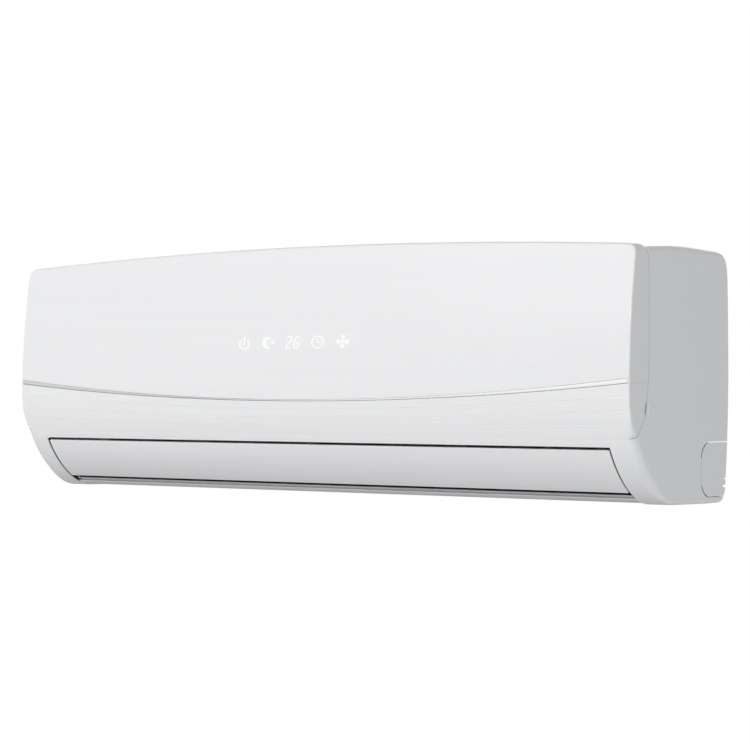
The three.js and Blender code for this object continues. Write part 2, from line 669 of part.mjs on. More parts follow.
function pipe({ r, end, y, z, start, drop, corner }) {
  const [startY, startZ] = start;
  const turn = drop - 2.5 * corner;
  const first = [v3(COIL.right + 2.8, startY, startZ), v3(drop, startY, startZ)];
  const last = [v3(drop, y, startZ - 1.2 * corner), v3(drop, y, z), v3(turn, y, z)];
  const route = rounded([...first, ...last], corner);
  return join(bar(route, r, 22, 8), rodX(r, end, turn + 1, y, z, 8));
}
piece("suction_pipe", pipe(SUCTION), "copper");
piece("liquid_pipe", pipe(LIQUID), "copper");

function flareNut({ end, y, z }, across) {
  const start = end - 0.4;
  const hexagon = rodX(across / Math.sqrt(3), start - 20, start, y, z, 6);
  return join(hexagon, rodX(across * 0.42, start - 26, start - 19, y, z, 12));
}
piece("suction_flare_nut", flareNut(SUCTION, 24), "brass");
piece("liquid_flare_nut", flareNut(LIQUID, 17), "brass");

// ---------------------------------------------------------------- fan and motor
const BLADE = new THREE.QuadraticBezierCurve(v2(FAN.r - 0.6, 5), v2(41, 4.5), v2(36, -1));

function fanBlade(turn) {
  const outline = sheet(BLADE.getPoints(2), 1.5);
  return outline.map((p) => p.rotateAround(v2(0, 0), turn).add(v2(FAN.y, FAN.z)));
}

// A round rod on the fan's axis.
function fanRod(radius, from, to, sides = 24) {
  return rodX(radius, from, to, FAN.y, FAN.z, sides);
}
const fanRing = cut(fanRod(FAN.r, -27, -24), fanRod(34, -30, -20, 16)); // halfway between the end discs
const fanEnds = [FAN.left, FAN.right - 3].map((x) => fanRod(FAN.r, x, x + 3));
const blades = Array.from({ length: FAN.blades }, (_, i) =>
  alongX(fanBlade((2 * Math.PI * i) / FAN.blades), FAN.left + 1, FAN.right - 1),
);
const fanWheel = join(
  ...fanEnds,
  fanRing,
  ...blades,
  fanRod(10, FAN.right - 16, FAN.right, 12),
  fanRod(FAN.shaft, FAN.left - 14, FAN.left + 2, 12),
);
piece("crossflow_fan", cut(fanWheel, fanRod(FAN.shaft + 0.4, FAN.right - 14, FAN.right + 4, 12)), "dark");
piece("motor_shaft", fanRod(FAN.shaft, FAN.right - 13, MOTOR.left + 20, 12), "steel");

const motorProfile = [
  v2(0, MOTOR.left + 26),
  v2(FAN.shaft + 0.5, MOTOR.left + 26),
  v2(FAN.shaft + 0.5, MOTOR.left),
  v2(13, MOTOR.left),
  v2(13, MOTOR.left + 4),
  v2(MOTOR.r - 4, MOTOR.left + 6),
  v2(MOTOR.r, MOTOR.left + 10),
  v2(MOTOR.r, MOTOR.right - 10),
  v2(MOTOR.r - 5, MOTOR.right - 3),
  v2(0, MOTOR.right - 3),
];
piece("fan_motor", turnedX(motorProfile, FAN.y, FAN.z), "steel");
// A band round the back of the motor, with a foot on the chassis.
const clampArc = new THREE.EllipseCurve(FAN.y, FAN.z, MOTOR.r + 1.6, MOTOR.r + 1.6, -1.4, 1.9).getPoints(14);
const clampBand = alongX(sheet(clampArc, 2), MOTOR.left + 6, MOTOR.left + 20);
const clampFoot = box(MOTOR.left + 6, MOTOR.left + 20, 163, 202.4, FAN.z - 3, FAN.z + 3);
piece("motor_clamp", join(clampBand, clampFoot), "mould");
piece("fan_bearing", cut(fanRod(14, -411.5, -404, 18), fanRod(FAN.shaft + 0.4, -420, -400, 12)), "dark");

// ---------------------------------------------------------------- vertical vanes
// One leaning group holds everything that turns in the outlet. In it Z runs up the vanes' axes.
const vaneFrame = new THREE.Group();
vaneFrame.position.set(0, VANE.y, VANE.z);
vaneFrame.rotation.x = VANE_TILT;
unit.add(vaneFrame);
const vanePlaces = Array.from({ length: VANE_COUNT }, (_, i) => VANE.first + i * VANE.pitch);

function vaneSolid() {
  const corner = 4;
  const { front, back, low, high, thick } = VANE;
  const lower = [v2(front + corner, low), v2(back, low)];
  const outline = [...lower, v2(back, high), v2(front, high), v2(front, low + corner)];
  return join(
    alongX(outline, -thick / 2, thick / 2),
    rodZ(2, 0, 0, high - 6, RAIL.high - 0.2, 8),
    rodZ(1.4, 0, -LINK_ARM, LINK.low - 0.4, low + 4, 6),
  );
}
vanePlaces.forEach((x, i) => {
  const vane = piece(`vertical_vane_${String(i + 1).padStart(2, "0")}`, vaneSolid(), "mould", vaneFrame);
  vane.position.x = x;
});

const railHoles = [...vanePlaces, CRANK_X].map((x) => rodZ(2.6, x, 0, RAIL.low - 1, RAIL.high + 1, 8));
piece("vane_rail", cut(box(-392, 408, -5, 5, RAIL.low, RAIL.high), ...railHoles), "mould", vaneFrame);
const linkHoles = [...vanePlaces, CRANK_X].map((x) => rodZ(2, x, -LINK_ARM, LINK.low - 1, LINK.high + 1, 6));
const linkBar = box(vanePlaces[0] - 6, CRANK_X + 6, -LINK_ARM - 3.5, -LINK_ARM + 3.5, LINK.low, LINK.high);
piece("vane_link_bar", cut(linkBar, ...linkHoles), "mould", vaneFrame);
const crank = join(
  rodZ(3, 0, 0, -24, 27, 10),
  rodZ(2, 0, 0, 26, 36, 10),
  box(-3, 3, -LINK_ARM - 3, 0, -24, -21),
  rodZ(1.4, 0, -LINK_ARM, LINK.low - 0.4, -22, 8),
);
piece("vane_crank", crank, "mould", vaneFrame).position.x = CRANK_X;
const vaneMotor = cut(rodZ(12, CRANK_X, 0, RAIL.high + 0.4, 50, 18), rodZ(2.7, CRANK_X, 0, 30, 37, 10));
piece("vane_motor", vaneMotor, "steel", vaneFrame);

// ---------------------------------------------------------------- air filters
const filterLine = [v2(44.9, 100), v2(44.9, 158), v2(47.3, 172), v2(90, 248), v2(99, 258), v2(112, 264)];
piece("air_filter_left", alongX(sheet(filterLine, 1.5), -424, -1.5), "net");
piece("air_filter_right", alongX(sheet(filterLine, 1.5), 1.5, 402), "net");

// ---------------------------------------------------------------- electrical parts
const BOX = { left: 414, right: 444, front: 56, back: 152, low: 90, high: 250 };

// A block of the control box's height and width, drawn in by a margin.
function boxBlock(front, back, margin) {
  return box(BOX.left + margin, BOX.right - margin, front, back, BOX.low + margin, BOX.high - margin);
}
const boxFeet = [110, 225].map((z) => box(BOX.right - 12, BOX.right, BOX.back - 1, 202.4, z, z + 3));
const boxWalls = cut(boxBlock(BOX.front, BOX.back, 0), boxBlock(BOX.front - 5, BOX.back - 2, 2));
piece("control_box", join(boxWalls, ...boxFeet), "dark");
const rimHollow = boxBlock(BOX.front - 5, BOX.front + 5, 3.6);
const coverRim = cut(boxBlock(BOX.front - 1, BOX.front + 3, 2.4), rimHollow);
piece("control_box_cover", join(boxBlock(BOX.front - 2.4, BOX.front - 0.4, 0), coverRim), "dark");
const controlBoard = join(
  box(420, 421.6, 62, 148, 92.4, 247.6),
  rodX(10, 421, 438, 80, 230, 14),
  box(421, 436, 100, 122, 215, 240),
  box(421, 433, 66, 92, 150, 172),
  box(421, 437, 104, 140, 145, 180),
);
piece("control_board", controlBoard, "board");
const clampHoles = [98, 107, 116, 125].map((z) => rodY(2.5, 432, 62.5, 66, z, 8));
piece("terminal_block", cut(box(424, 441.6, 64, 84, 92.4, 132), ...clampHoles), "mould");

const buttonBody = join(
  rodY(BUTTON.r, BUTTON.x, 39.4, 45, BUTTON.z, 16),
  rodY(BUTTON.r + 1.6, BUTTON.x, 44, 45.4, BUTTON.z, 16),
  rodY(1.8, BUTTON.x, 45, 47.2, BUTTON.z, 10),
);
piece("manual_button", buttonBody, "shell");
piece("button_board", join(box(421, 439, 51.8, 53.2, 128, 152), box(426, 434, 49, 52, 136, 144)), "board");
const sensorClip = box(405.6, BOX.left - 0.4, 50, 62, 118, 124);
piece("room_sensor", join(rodZ(2.6, 408.5, 49.6, 102, 130, 10), sensorClip), "dark");

export default root;
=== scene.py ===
"""Looks of a wall-hung indoor unit of a split air conditioner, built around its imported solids.

Sizes are design millimetres: X along the unit, Y from the panel's front line to the wall, Z up from the
underside. ``placed`` turns them into the row frame, in metres, whose origin lies on the wall.
"""

import logging
import math
from collections.abc import Callable, Iterable, Sequence
from dataclasses import dataclass
from enum import Enum
from typing import ClassVar

import bmesh
import bpy
import numpy as np
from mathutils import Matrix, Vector


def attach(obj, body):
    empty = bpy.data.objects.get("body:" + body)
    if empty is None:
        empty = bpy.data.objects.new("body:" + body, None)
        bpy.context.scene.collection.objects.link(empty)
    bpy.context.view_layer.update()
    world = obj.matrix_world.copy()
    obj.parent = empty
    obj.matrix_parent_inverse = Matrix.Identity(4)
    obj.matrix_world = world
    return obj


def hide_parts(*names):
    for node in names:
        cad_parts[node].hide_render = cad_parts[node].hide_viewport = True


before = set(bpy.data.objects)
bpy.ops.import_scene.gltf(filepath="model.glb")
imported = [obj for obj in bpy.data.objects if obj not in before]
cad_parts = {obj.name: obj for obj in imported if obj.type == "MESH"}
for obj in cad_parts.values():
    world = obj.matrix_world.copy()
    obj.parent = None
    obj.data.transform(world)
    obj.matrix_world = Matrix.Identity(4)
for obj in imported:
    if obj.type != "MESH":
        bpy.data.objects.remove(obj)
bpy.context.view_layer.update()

LOG = logging.getLogger("indoor_unit")
Point = tuple[float, float]
Place = tuple[float, float, float]
Colour = tuple[float, float, float]
Box = tuple[float, float, float, float, float, float]
Object = bpy.types.Object
Socket = bpy.types.NodeSocket
Mesh = bmesh.types.BMesh

MM = 0.001
DEPTH = 209.0
HALF_HEIGHT = 137.5
HALF = 450.0
GAP = 0.35
WALL = 2.5
OUTLET_HALF = 418.0
PANEL_HINGE = (36.5, 270.5)
FLAP_HINGE = (62, 28)
WHITE = (1, 1, 1, 1)
GRIP_CENTRE = (0, 34.2, 102)
GRIP_HALF = (2, 4.5, 9.0)
GRIP_PROUD = 0.4


# ---------------------------------------------------------------- curves
def bezier(corners: Sequence[Point], steps: int, start: float = 0.0, end: float = 1.0) -> list[Point]:
    """Points on a Bezier curve of any degree.

    Args:
        corners: its control points.
        steps: number of equal steps of its parameter.
        start: parameter of the first point.
        end: parameter of the last point.

    Returns:
        steps + 1 points.
    """
    degree = len(corners) - 1
    found = []
    for i in range(steps + 1):
        t = start + (end - start) * i / steps
        shares = [math.comb(degree, k) * t**k * (1 - t) ** (degree - k) for k in range(degree + 1)]
        found.append(tuple(sum(s * c[axis] for s, c in zip(shares, corners)) for axis in (0, 1)))
    return found


def through(knots: Sequence[Point], steps: int) -> list[Point]:
    """Points on a smooth curve through knots.

    Args:
        knots: the points it passes through.
        steps: steps between two knots.

    Returns:
        The points, with both end knots.
    """
    found = []
    last = len(knots) - 1
    for i in range(last):
        a, b, c, d = (knots[min(max(i + k, 0), last)] for k in (-1, 0, 1, 2))
        for j in range(steps):
            t = j / steps
            found.append(
                tuple(
                    b[n]
                    + 0.5 * t * (c[n] - a[n] + t * (2 * a[n] - 5 * b[n] + 4 * c[n] - d[n]
                                                    + t * (3 * (b[n] - c[n]) + d[n] - a[n])))
                    for n in (0, 1)
                )
            )
    return [*found, tuple(knots[-1])]


def arc(centre: Point, radius: float, start: float, end: float, steps: int) -> list[Point]:
    """Points on a circular arc, from one angle in degrees to another."""
    turns = [math.radians(start + (end - start) * i / steps) for i in range(steps + 1)]
    return [(centre[0] + radius * math.cos(t), centre[1] + radius * math.sin(t)) for t in turns]


def circle(centre: Point, radius: float, sides: int) -> list[Point]:
    """The corners of a regular outline round a centre."""
    return arc(centre, radius, 0, 360 * (sides - 1) / sides, sides - 1)


def shifted(points: Sequence[Point], distance: float | Sequence[float], closed: bool = False) -> list[Point]:
    """A polyline moved sideways.

    Args:
        points: the polyline.
        distance: how far, to its left for a positive one; one number or one for each point.
        closed: whether the last point joins the first.

    Returns:
        The moved points.
    """
    n = len(points)
    distances = distance if isinstance(distance, Sequence) else [distance] * n
    found = []
    for i, (p, far) in enumerate(zip(points, distances)):
        before = points[i - 1] if closed or i > 0 else None
        after = points[(i + 1) % n] if closed or i < n - 1 else None
        into = Vector(p) - Vector(before) if before else Vector(after) - Vector(p)
        out = Vector(after) - Vector(p) if after else into
        into.normalize()
        out.normalize()
        normal = Vector((-into.y - out.y, into.x + out.x)).normalized()
        stretch = max(normal.dot(Vector((-into.y, into.x))), 0.3)
        found.append((p[0] + normal.x * far / stretch, p[1] + normal.y * far / stretch))
    return found


def anticlockwise(outline: Sequence[Point]) -> bool:
    """Whether a closed outline runs anticlockwise."""
    pairs = zip(outline, [*outline[1:], outline[0]])
    return sum(a[0] * b[1] - b[0] * a[1] for a, b in pairs) > 0


def strip_of(points: Sequence[Point], thickness: float) -> list[Point]:
    """The closed outline of a sheet of constant thickness along a polyline."""
    return [*shifted(points, thickness / 2), *reversed(shifted(points, -thickness / 2))]


def eased(value: float, low: float, high: float) -> float:
    """A smooth step from 0 at low to 1 at high."""
    t = min(max((value - low) / (high - low), 0.0), 1.0)
    return t * t * (3 - 2 * t)


class SideView:
    """The side view's curves: the front line, the parting of panel and case, and the case behind."""

    LOWER = ((0, 118), (0, 56), (50, 0), (92, 0))
    UPPER = ((0, 118), (0, 170), (6, 225), (13.5, 270))
    TOP = ((37, 272.4), (105, 275.6), (187, 273.2))
    REAR = ((202.5, 25), (206, 64), (209, 133), (207.7, 231), (206, 254))
    PARTING = ((3, 70.2), (10, 71.2), (16.5, 74.7), (22, 81.5), (28, 89.5), (32.8, 99.5), (35.4, 112), (37, 126),
               (38.4, 141), (39.2, 160))
    BACK = 39.2
    SHARP_EDGE = 1.6
    SOFT_EDGE = 10.0

    def __init__(self) -> None:
        """Samples the front and the parting, so that their depths can be looked up by height."""
        front = [*bezier(self.LOWER, 200, 1, 0), *bezier(self.UPPER, 200)[1:], (14.4, 274.5)]
        self.front_depths, self.front_heights = np.array(front).T
        panel_side = shifted([*self.parting(), (35.5, 268.5), (35.5, 330)], GAP)
        self.parting_depths, self.parting_heights = np.array(panel_side).T

    def parting(self) -> list[Point]:
        """The parting line, from under the panel to the top of its side return."""
        return [(-30, 70), *through(self.PARTING, 5), (self.BACK, 262)]

    def front(self, height: float) -> float:
        """Depth of the front line at a height."""
        return float(np.interp(height, self.front_heights, self.front_depths))

    def panel_end(self, height: float) -> float:
        """Depth at which the panel's side return ends at a height."""
        return float(np.interp(height, self.parting_heights[1:], self.parting_depths[1:]))

    def edge(self, height: float) -> float:
        """Radius of the panel's vertical edge, crisp above and wide towards the chin."""
        return self.SOFT_EDGE + (self.SHARP_EDGE - self.SOFT_EDGE) * eased(height, 62, 98)


SIDE = SideView()


# ---------------------------------------------------------------- meshes
def placed(points: Iterable[Place]) -> list[Vector]:
    """Design millimetres as points of the row frame, in metres."""
    return [Vector((x, y - DEPTH, z - HALF_HEIGHT)) * MM for x, y, z in points]


def linked(name: str, data: bpy.types.ID) -> Object:
    """A new object that holds some data, linked to the scene.

    Args:
        name: its name.
        data: its mesh, curve, camera or lamp data.

    Returns:
        The object.
    """
    made = bpy.data.objects.new(name, data)
    bpy.context.scene.collection.objects.link(made)
    return made


def mesh_object(name: str, points: Iterable[Place], faces: Iterable[Sequence[int]]) -> Object:
    """An object from design points and faces.

    Args:
        name: its name.
        points: design points, in millimetres.
        faces: corners of each face, as places in points.

    Returns:
        The object, linked to the scene.
    """
    mesh = bpy.data.meshes.new(name)
    mesh.from_pydata(placed(points), [], [tuple(face) for face in faces])
    return linked(name, mesh)


def edited(piece: Object, change: Callable[[Mesh], None]) -> Object:
    """Runs a change on an object's mesh and returns the object.

    Args:
        piece: the object.
        change: what is done to its mesh.

    Returns:
        The object.
    """
    work = bmesh.new()
    work.from_mesh(piece.data)
    change(work)
    work.to_mesh(piece.data)
    work.free()
    return piece


def facing_out(work: Mesh) -> None:
    """Joins doubled points and turns all faces outwards."""
    bmesh.ops.remove_doubles(work, verts=work.verts, dist=0.004 * MM)
    bmesh.ops.recalc_face_normals(work, faces=work.faces)


def baked(piece: Object) -> Object:
    """Applies an object's modifiers to its mesh.

    Args:
        piece: the object.

    Returns:
        The object.
    """
    graph = bpy.context.evaluated_depsgraph_get()
    mesh = bpy.data.meshes.new_from_object(piece.evaluated_get(graph))
    piece.modifiers.clear()
    spent, piece.data = piece.data, mesh
    bpy.data.meshes.remove(spent)
    return piece


def dropped(*tools: Object) -> None:
    """Deletes helper objects."""
    for tool in tools:
        bpy.data.meshes.remove(tool.data)


class Work(Enum):
    """What a tool body does to a piece."""

    CUT = "DIFFERENCE"
    JOIN = "UNION"
    KEEP = "INTERSECT"


def worked(piece: Object, work: Work, *tools: Object) -> Object:
    """Cuts, joins or keeps a piece with tool bodies, and deletes them.

    Args:
        piece: the piece that changes.
        work: what the tools do.
        tools: closed bodies.

    Returns:
        The piece.
    """
    for tool in tools:
        step = piece.modifiers.new(work.name, "BOOLEAN")
        step.solver = "MANIFOLD"
        step.operation = work.value
        step.object = tool
    baked(piece)
    dropped(*tools)
    return piece


def copied(piece: Object, name: str) -> Object:
    """A second object with its own copy of the mesh."""
    return linked(name, piece.data.copy())


def merged(piece: Object, *others: Object) -> Object:
    """Adds the meshes of other objects to a piece, and deletes them.

    Args:
        piece: the piece.
        others: the objects whose meshes it takes in.

    Returns:
        The piece.
    """

    def gather(work: Mesh) -> None:
        """Adds each mesh."""
        for other in others:
            work.from_mesh(other.data)

    edited(piece, gather)
    dropped(*others)
    return piece


def smoothed(piece: Object, degrees: float = 32.0, edge: float = 0.0) -> Object:
    """Shades a piece smoothly, with crisp edges above an angle.

    Args:
        piece: the piece.
        degrees: the angle.
        edge: width in millimetres of a small bevel on those edges, 0 for none.

    Returns:
        The piece.
    """
    if edge:
        bevel = piece.modifiers.new("edge", "BEVEL")
        bevel.width = edge * MM
        bevel.segments = 3 if edge > 0.5 else 2
        bevel.limit_method = "ANGLE"
        bevel.angle_limit = math.radians(40)
        baked(piece)
    piece.data.shade_smooth()
    piece.data.set_sharp_from_angle(angle=math.radians(degrees))
    weight = piece.modifiers.new("normals", "WEIGHTED_NORMAL")
    weight.keep_sharp = True
    return baked(piece)


def band(low: int, high: int, count: int) -> list[list[int]]:
    """Quads between two rings of points, given the place of each ring's first point."""
    return [[low + i, low + j, high + j, high + i] for i, j in ((i, (i + 1) % count) for i in range(count))]


def skinned(name: str, rings: Sequence[Sequence[Place]]) -> Object:
    """A closed body through rings of the same number of points, with flat ends.

    Args:
        name: its name.
        rings: the rings, from one end to the other.

    Returns:
        The body.
    """
    count, last = len(rings[0]), len(rings) - 1
    faces = [list(range(count)), [last * count + i for i in range(count)]]
    for k in range(last):
        faces += band(k * count, (k + 1) * count, count)
    return edited(mesh_object(name, [p for ring in rings for p in ring], faces), facing_out)


def along_x(
    name: str,
    outline: Sequence[Point],
    start: float,
    end: float,
    radii: Sequence[float] | None = None,
    flats: int = 10,
) -> Object:
    """A closed body: an outline in Y and Z drawn out along X, with rounded ends where radii are given.

    Args:
        name: its name.
        outline: the closed outline.
        start: its lower X.
        end: its upper X.
        radii: the end fillet's radius at each point of the outline.
        flats: steps over each fillet.

    Returns:
        The body.
    """
    inwards = 1 if anticlockwise(outline) else -1
    rings = []
    if radii is None:
        rings = [[(x, *p) for p in outline] for x in (start, end)]
    else:
        for side in (0, 1):
            turns = [math.pi / 2 * k / flats for k in range(flats + 1)]
            for turn in turns if side else reversed(turns):
                drawn = shifted(outline, [inwards * r * (1 - math.cos(turn)) for r in radii], True)
                reach = [r * (1 - math.sin(turn)) for r in radii]
                places = [end - far if side else start + far for far in reach]
                rings.append([(x, *p) for x, p in zip(places, drawn)])
    return skinned(name, rings)


def blocks(name: str, boxes: Iterable[Box]) -> Object:
    """Boxes given as x0, x1, y0, y1, z0, z1, in one object.

    Args:
        name: of the object.
        boxes: the limits of each box.

    Returns:
        The object.
    """
    points: list[Place] = []
    faces: list[list[int]] = []
    for x0, x1, y0, y1, z0, z1 in boxes:
        first = len(points)
        points += [(x, y, z) for x in (x0, x1) for y in (y0, y1) for z in (z0, z1)]
        for quad in ((0, 1, 3, 2), (4, 6, 7, 5), (0, 4, 5, 1), (2, 3, 7, 6), (0, 2, 6, 4), (1, 5, 7, 3)):
            faces.append([first + corner for corner in quad])
    return edited(mesh_object(name, points, faces), facing_out)


def turned(name: str, profile: Sequence[Point], centre: Point, sides: int = 32, closed: bool = False) -> Object:
    """A body turned about an axis along X.

    Args:
        name: its name.
        profile: X and radius of its outline, in order.
        centre: Y and Z of the axis.
        sides: steps round the axis.
        closed: whether the profile is a closed ring that keeps off the axis.

    Returns:
        The body.
    """
    points: list[Place] = []
    faces: list[list[int]] = []
    for x, radius in profile:
        points += [(x, y, z) for y, z in circle(centre, radius, sides)]
    rings = len(profile)
    for k in range(rings if closed else rings - 1):
        faces += band(k * sides, (k + 1) % rings * sides, sides)
    if not closed:
        faces += [list(range(sides)), [(rings - 1) * sides + i for i in range(sides)]]
    return edited(mesh_object(name, points, faces), facing_out)


def tube(name: str, route: Sequence[Place], radius: float, rounding: float = 0.0) -> Object:
    """A round bar along a route with rounded corners, as a mesh.

    Args:
        name: its name.
        route: corner points of its centre line.
        radius: of the bar.
        rounding: how far from each corner its bend begins.

    Returns:
        The bar.
    """
    line = [Vector(route[0])]
    for before, corner, after in zip(route, route[1:-1], route[2:]):
        b, c, a = Vector(before), Vector(corner), Vector(after)
        near = c + (b - c).normalized() * rounding
        far = c + (a - c).normalized() * rounding
        line += [near.lerp(c, t).lerp(c.lerp(far, t), t) for t in np.linspace(0, 1, 9)] if rounding else [c]
    line.append(Vector(route[-1]))
    curve = bpy.data.curves.new(name, "CURVE")
    curve.dimensions = "3D"
    curve.bevel_depth = radius * MM
    curve.bevel_resolution = 6
    curve.use_fill_caps = True
    spline = curve.splines.new("POLY")
    spline.points.add(len(line) - 1)
    for knot, place in zip(spline.points, placed(line)):
        knot.co = (*place, 1)
    holder = linked(name, curve)
    graph = bpy.context.evaluated_depsgraph_get()
    mesh = bpy.data.meshes.new_from_object(holder.evaluated_get(graph))
    bpy.data.curves.remove(curve)
    return edited(linked(name, mesh), facing_out)


class Patch:
    """An open surface, gathered row by row."""

    def __init__(self) -> None:
        """Starts with no points."""
        self.points: list[Place] = []
        self.faces: list[list[int]] = []

    def row(self, points: Iterable[Place]) -> list[int]:
        """Adds a row of points and returns their places.

        Args:
            points: its points.

        Returns:
            Their places.
        """
        first = len(self.points)
        self.points += points
        return list(range(first, len(self.points)))

    def span(self, low: Sequence[int], high: Sequence[int]) -> None:
        """Fills the strip between two rows with quads."""
        for a, b, c, d in zip(low, low[1:], high[1:], high):
            self.faces.append([a, b, c, d])


# ---------------------------------------------------------------- materials
class Tree:
    """Adds nodes to a node tree with their settings, values and links in one call."""

    def __init__(self, tree: bpy.types.NodeTree) -> None:
        """Takes the tree to fill."""
        self.tree = tree

    @classmethod
    def fresh(cls, holder: bpy.types.Material | bpy.types.World) -> "Tree":
        """The emptied node tree of a material or world.

        Args:
            holder: the owner of the tree.

        Returns:
            The tree.
        """
        holder.use_nodes = True
        holder.node_tree.nodes.clear()
        return cls(holder.node_tree)

    def add(self, kind: str, settings: dict | None = None, **values: object) -> bpy.types.Node:
        """Adds a node.

        Args:
            kind: type of the node.
            settings: its own properties.
            values: a number, colour or output socket for each input; iN names input number N.

        Returns:
            The node.
        """
        node = self.tree.nodes.new(kind)
        for name, value in (settings or {}).items():
            setattr(node, name, value)
        for name, value in values.items():
            numbered = name[0] == "i" and name[1:].isdigit()
            socket = node.inputs[int(name[1:]) if numbered else name.replace("_", " ")]
            if isinstance(value, Socket):
                self.tree.links.new(value, socket)
            else:
                socket.default_value = value
        return node

    def mix(self, share: Socket, low: object, high: object) -> Socket:
        """Mixes two colours."""
        return self.add("ShaderNodeMix", {"data_type": "RGBA"}, i0=share, i6=low, i7=high).outputs[2]

    def shown_white(self, seen: object, shader: bpy.types.Node, kind: str) -> Socket:
        """White, made by a node of one kind, where seen is 1, and another shader elsewhere."""
        white = self.add(kind, None, Color=WHITE, Strength=1.0)
        return self.add("ShaderNodeMixShader", None, i0=seen, i1=shader.outputs[0], i2=white.outputs[0]).outputs[0]

    def sums(self, kind: str, first: object, second: object = 0.0) -> Socket:
        """One step of arithmetic."""
        return self.add("ShaderNodeMath", {"operation": kind}, i0=first, i1=second).outputs[0]

    def ranged(self, value: object, low: float, high: float, to_low: float, to_high: float) -> object:
        """Maps a range of values onto another."""
        node = self.add("ShaderNodeMapRange", None, i0=value, i1=low, i2=high, i3=to_low, i4=to_high)
        return node.outputs[0]


class Group(Tree):
    """The inside of a node group: its inputs, the object's own coordinates and what effects share."""

    SOCKETS = {
        "Base": ("INPUT", "NodeSocketColor"),
        "Tint": ("INPUT", "NodeSocketColor"),
        "Amount": ("INPUT", "NodeSocketFloat"),
        "Size": ("INPUT", "NodeSocketFloat"),
        "Color": ("OUTPUT", "NodeSocketColor"),
        "Mask": ("OUTPUT", "NodeSocketFloat"),
        "Height": ("OUTPUT", "NodeSocketFloat"),
    }

    def __init__(self, tree: bpy.types.NodeTree) -> None:
        """Gives the tree its sockets and reads its inputs."""
        super().__init__(tree)
        for name, (way, kind) in self.SOCKETS.items():
            tree.interface.new_socket(name=name, in_out=way, socket_type=kind)
        self.inputs = self.add("NodeGroupInput").outputs
        self.where = self.add("ShaderNodeTexCoord").outputs["Object"]

    def noise(self, scale: Place, detail: float = 2.0) -> Socket:
        """A noise whose grain has its own size along each axis.

        Args:
            scale: grains to a metre along each axis.
            detail: number of its finer layers.

        Returns:
            The noise, from 0 to 1.
        """
        spread = self.add("ShaderNodeMapping", Vector=self.where, Scale=scale)
        texture = self.add("ShaderNodeTexNoise", Vector=spread.outputs[0], Scale=1.0, Detail=detail)
        return texture.outputs["Fac"]

    def along(self, axis: int) -> Socket:
        """One of the object's own coordinates."""
        return self.add("ShaderNodeSeparateXYZ", None, i0=self.where).outputs[axis]

    def shade(self, share: Socket) -> Socket:
        """Base mixed towards Tint by a share of Amount."""
        return self.mix(self.sums("MULTIPLY", share, self.inputs["Amount"]), self.inputs["Base"], self.inputs["Tint"])

    def ridge(self, axis: int) -> Socket:
        """Distance from the middle of each repeat of a pattern along one axis, as a share of the repeat."""
        phase = self.sums("FRACT", self.sums("MULTIPLY", self.along(axis), self.inputs["Size"]))
        return self.sums("ABSOLUTE", self.sums("SUBTRACT", phase, 0.5))


Look = tuple[Socket, Socket, Socket]


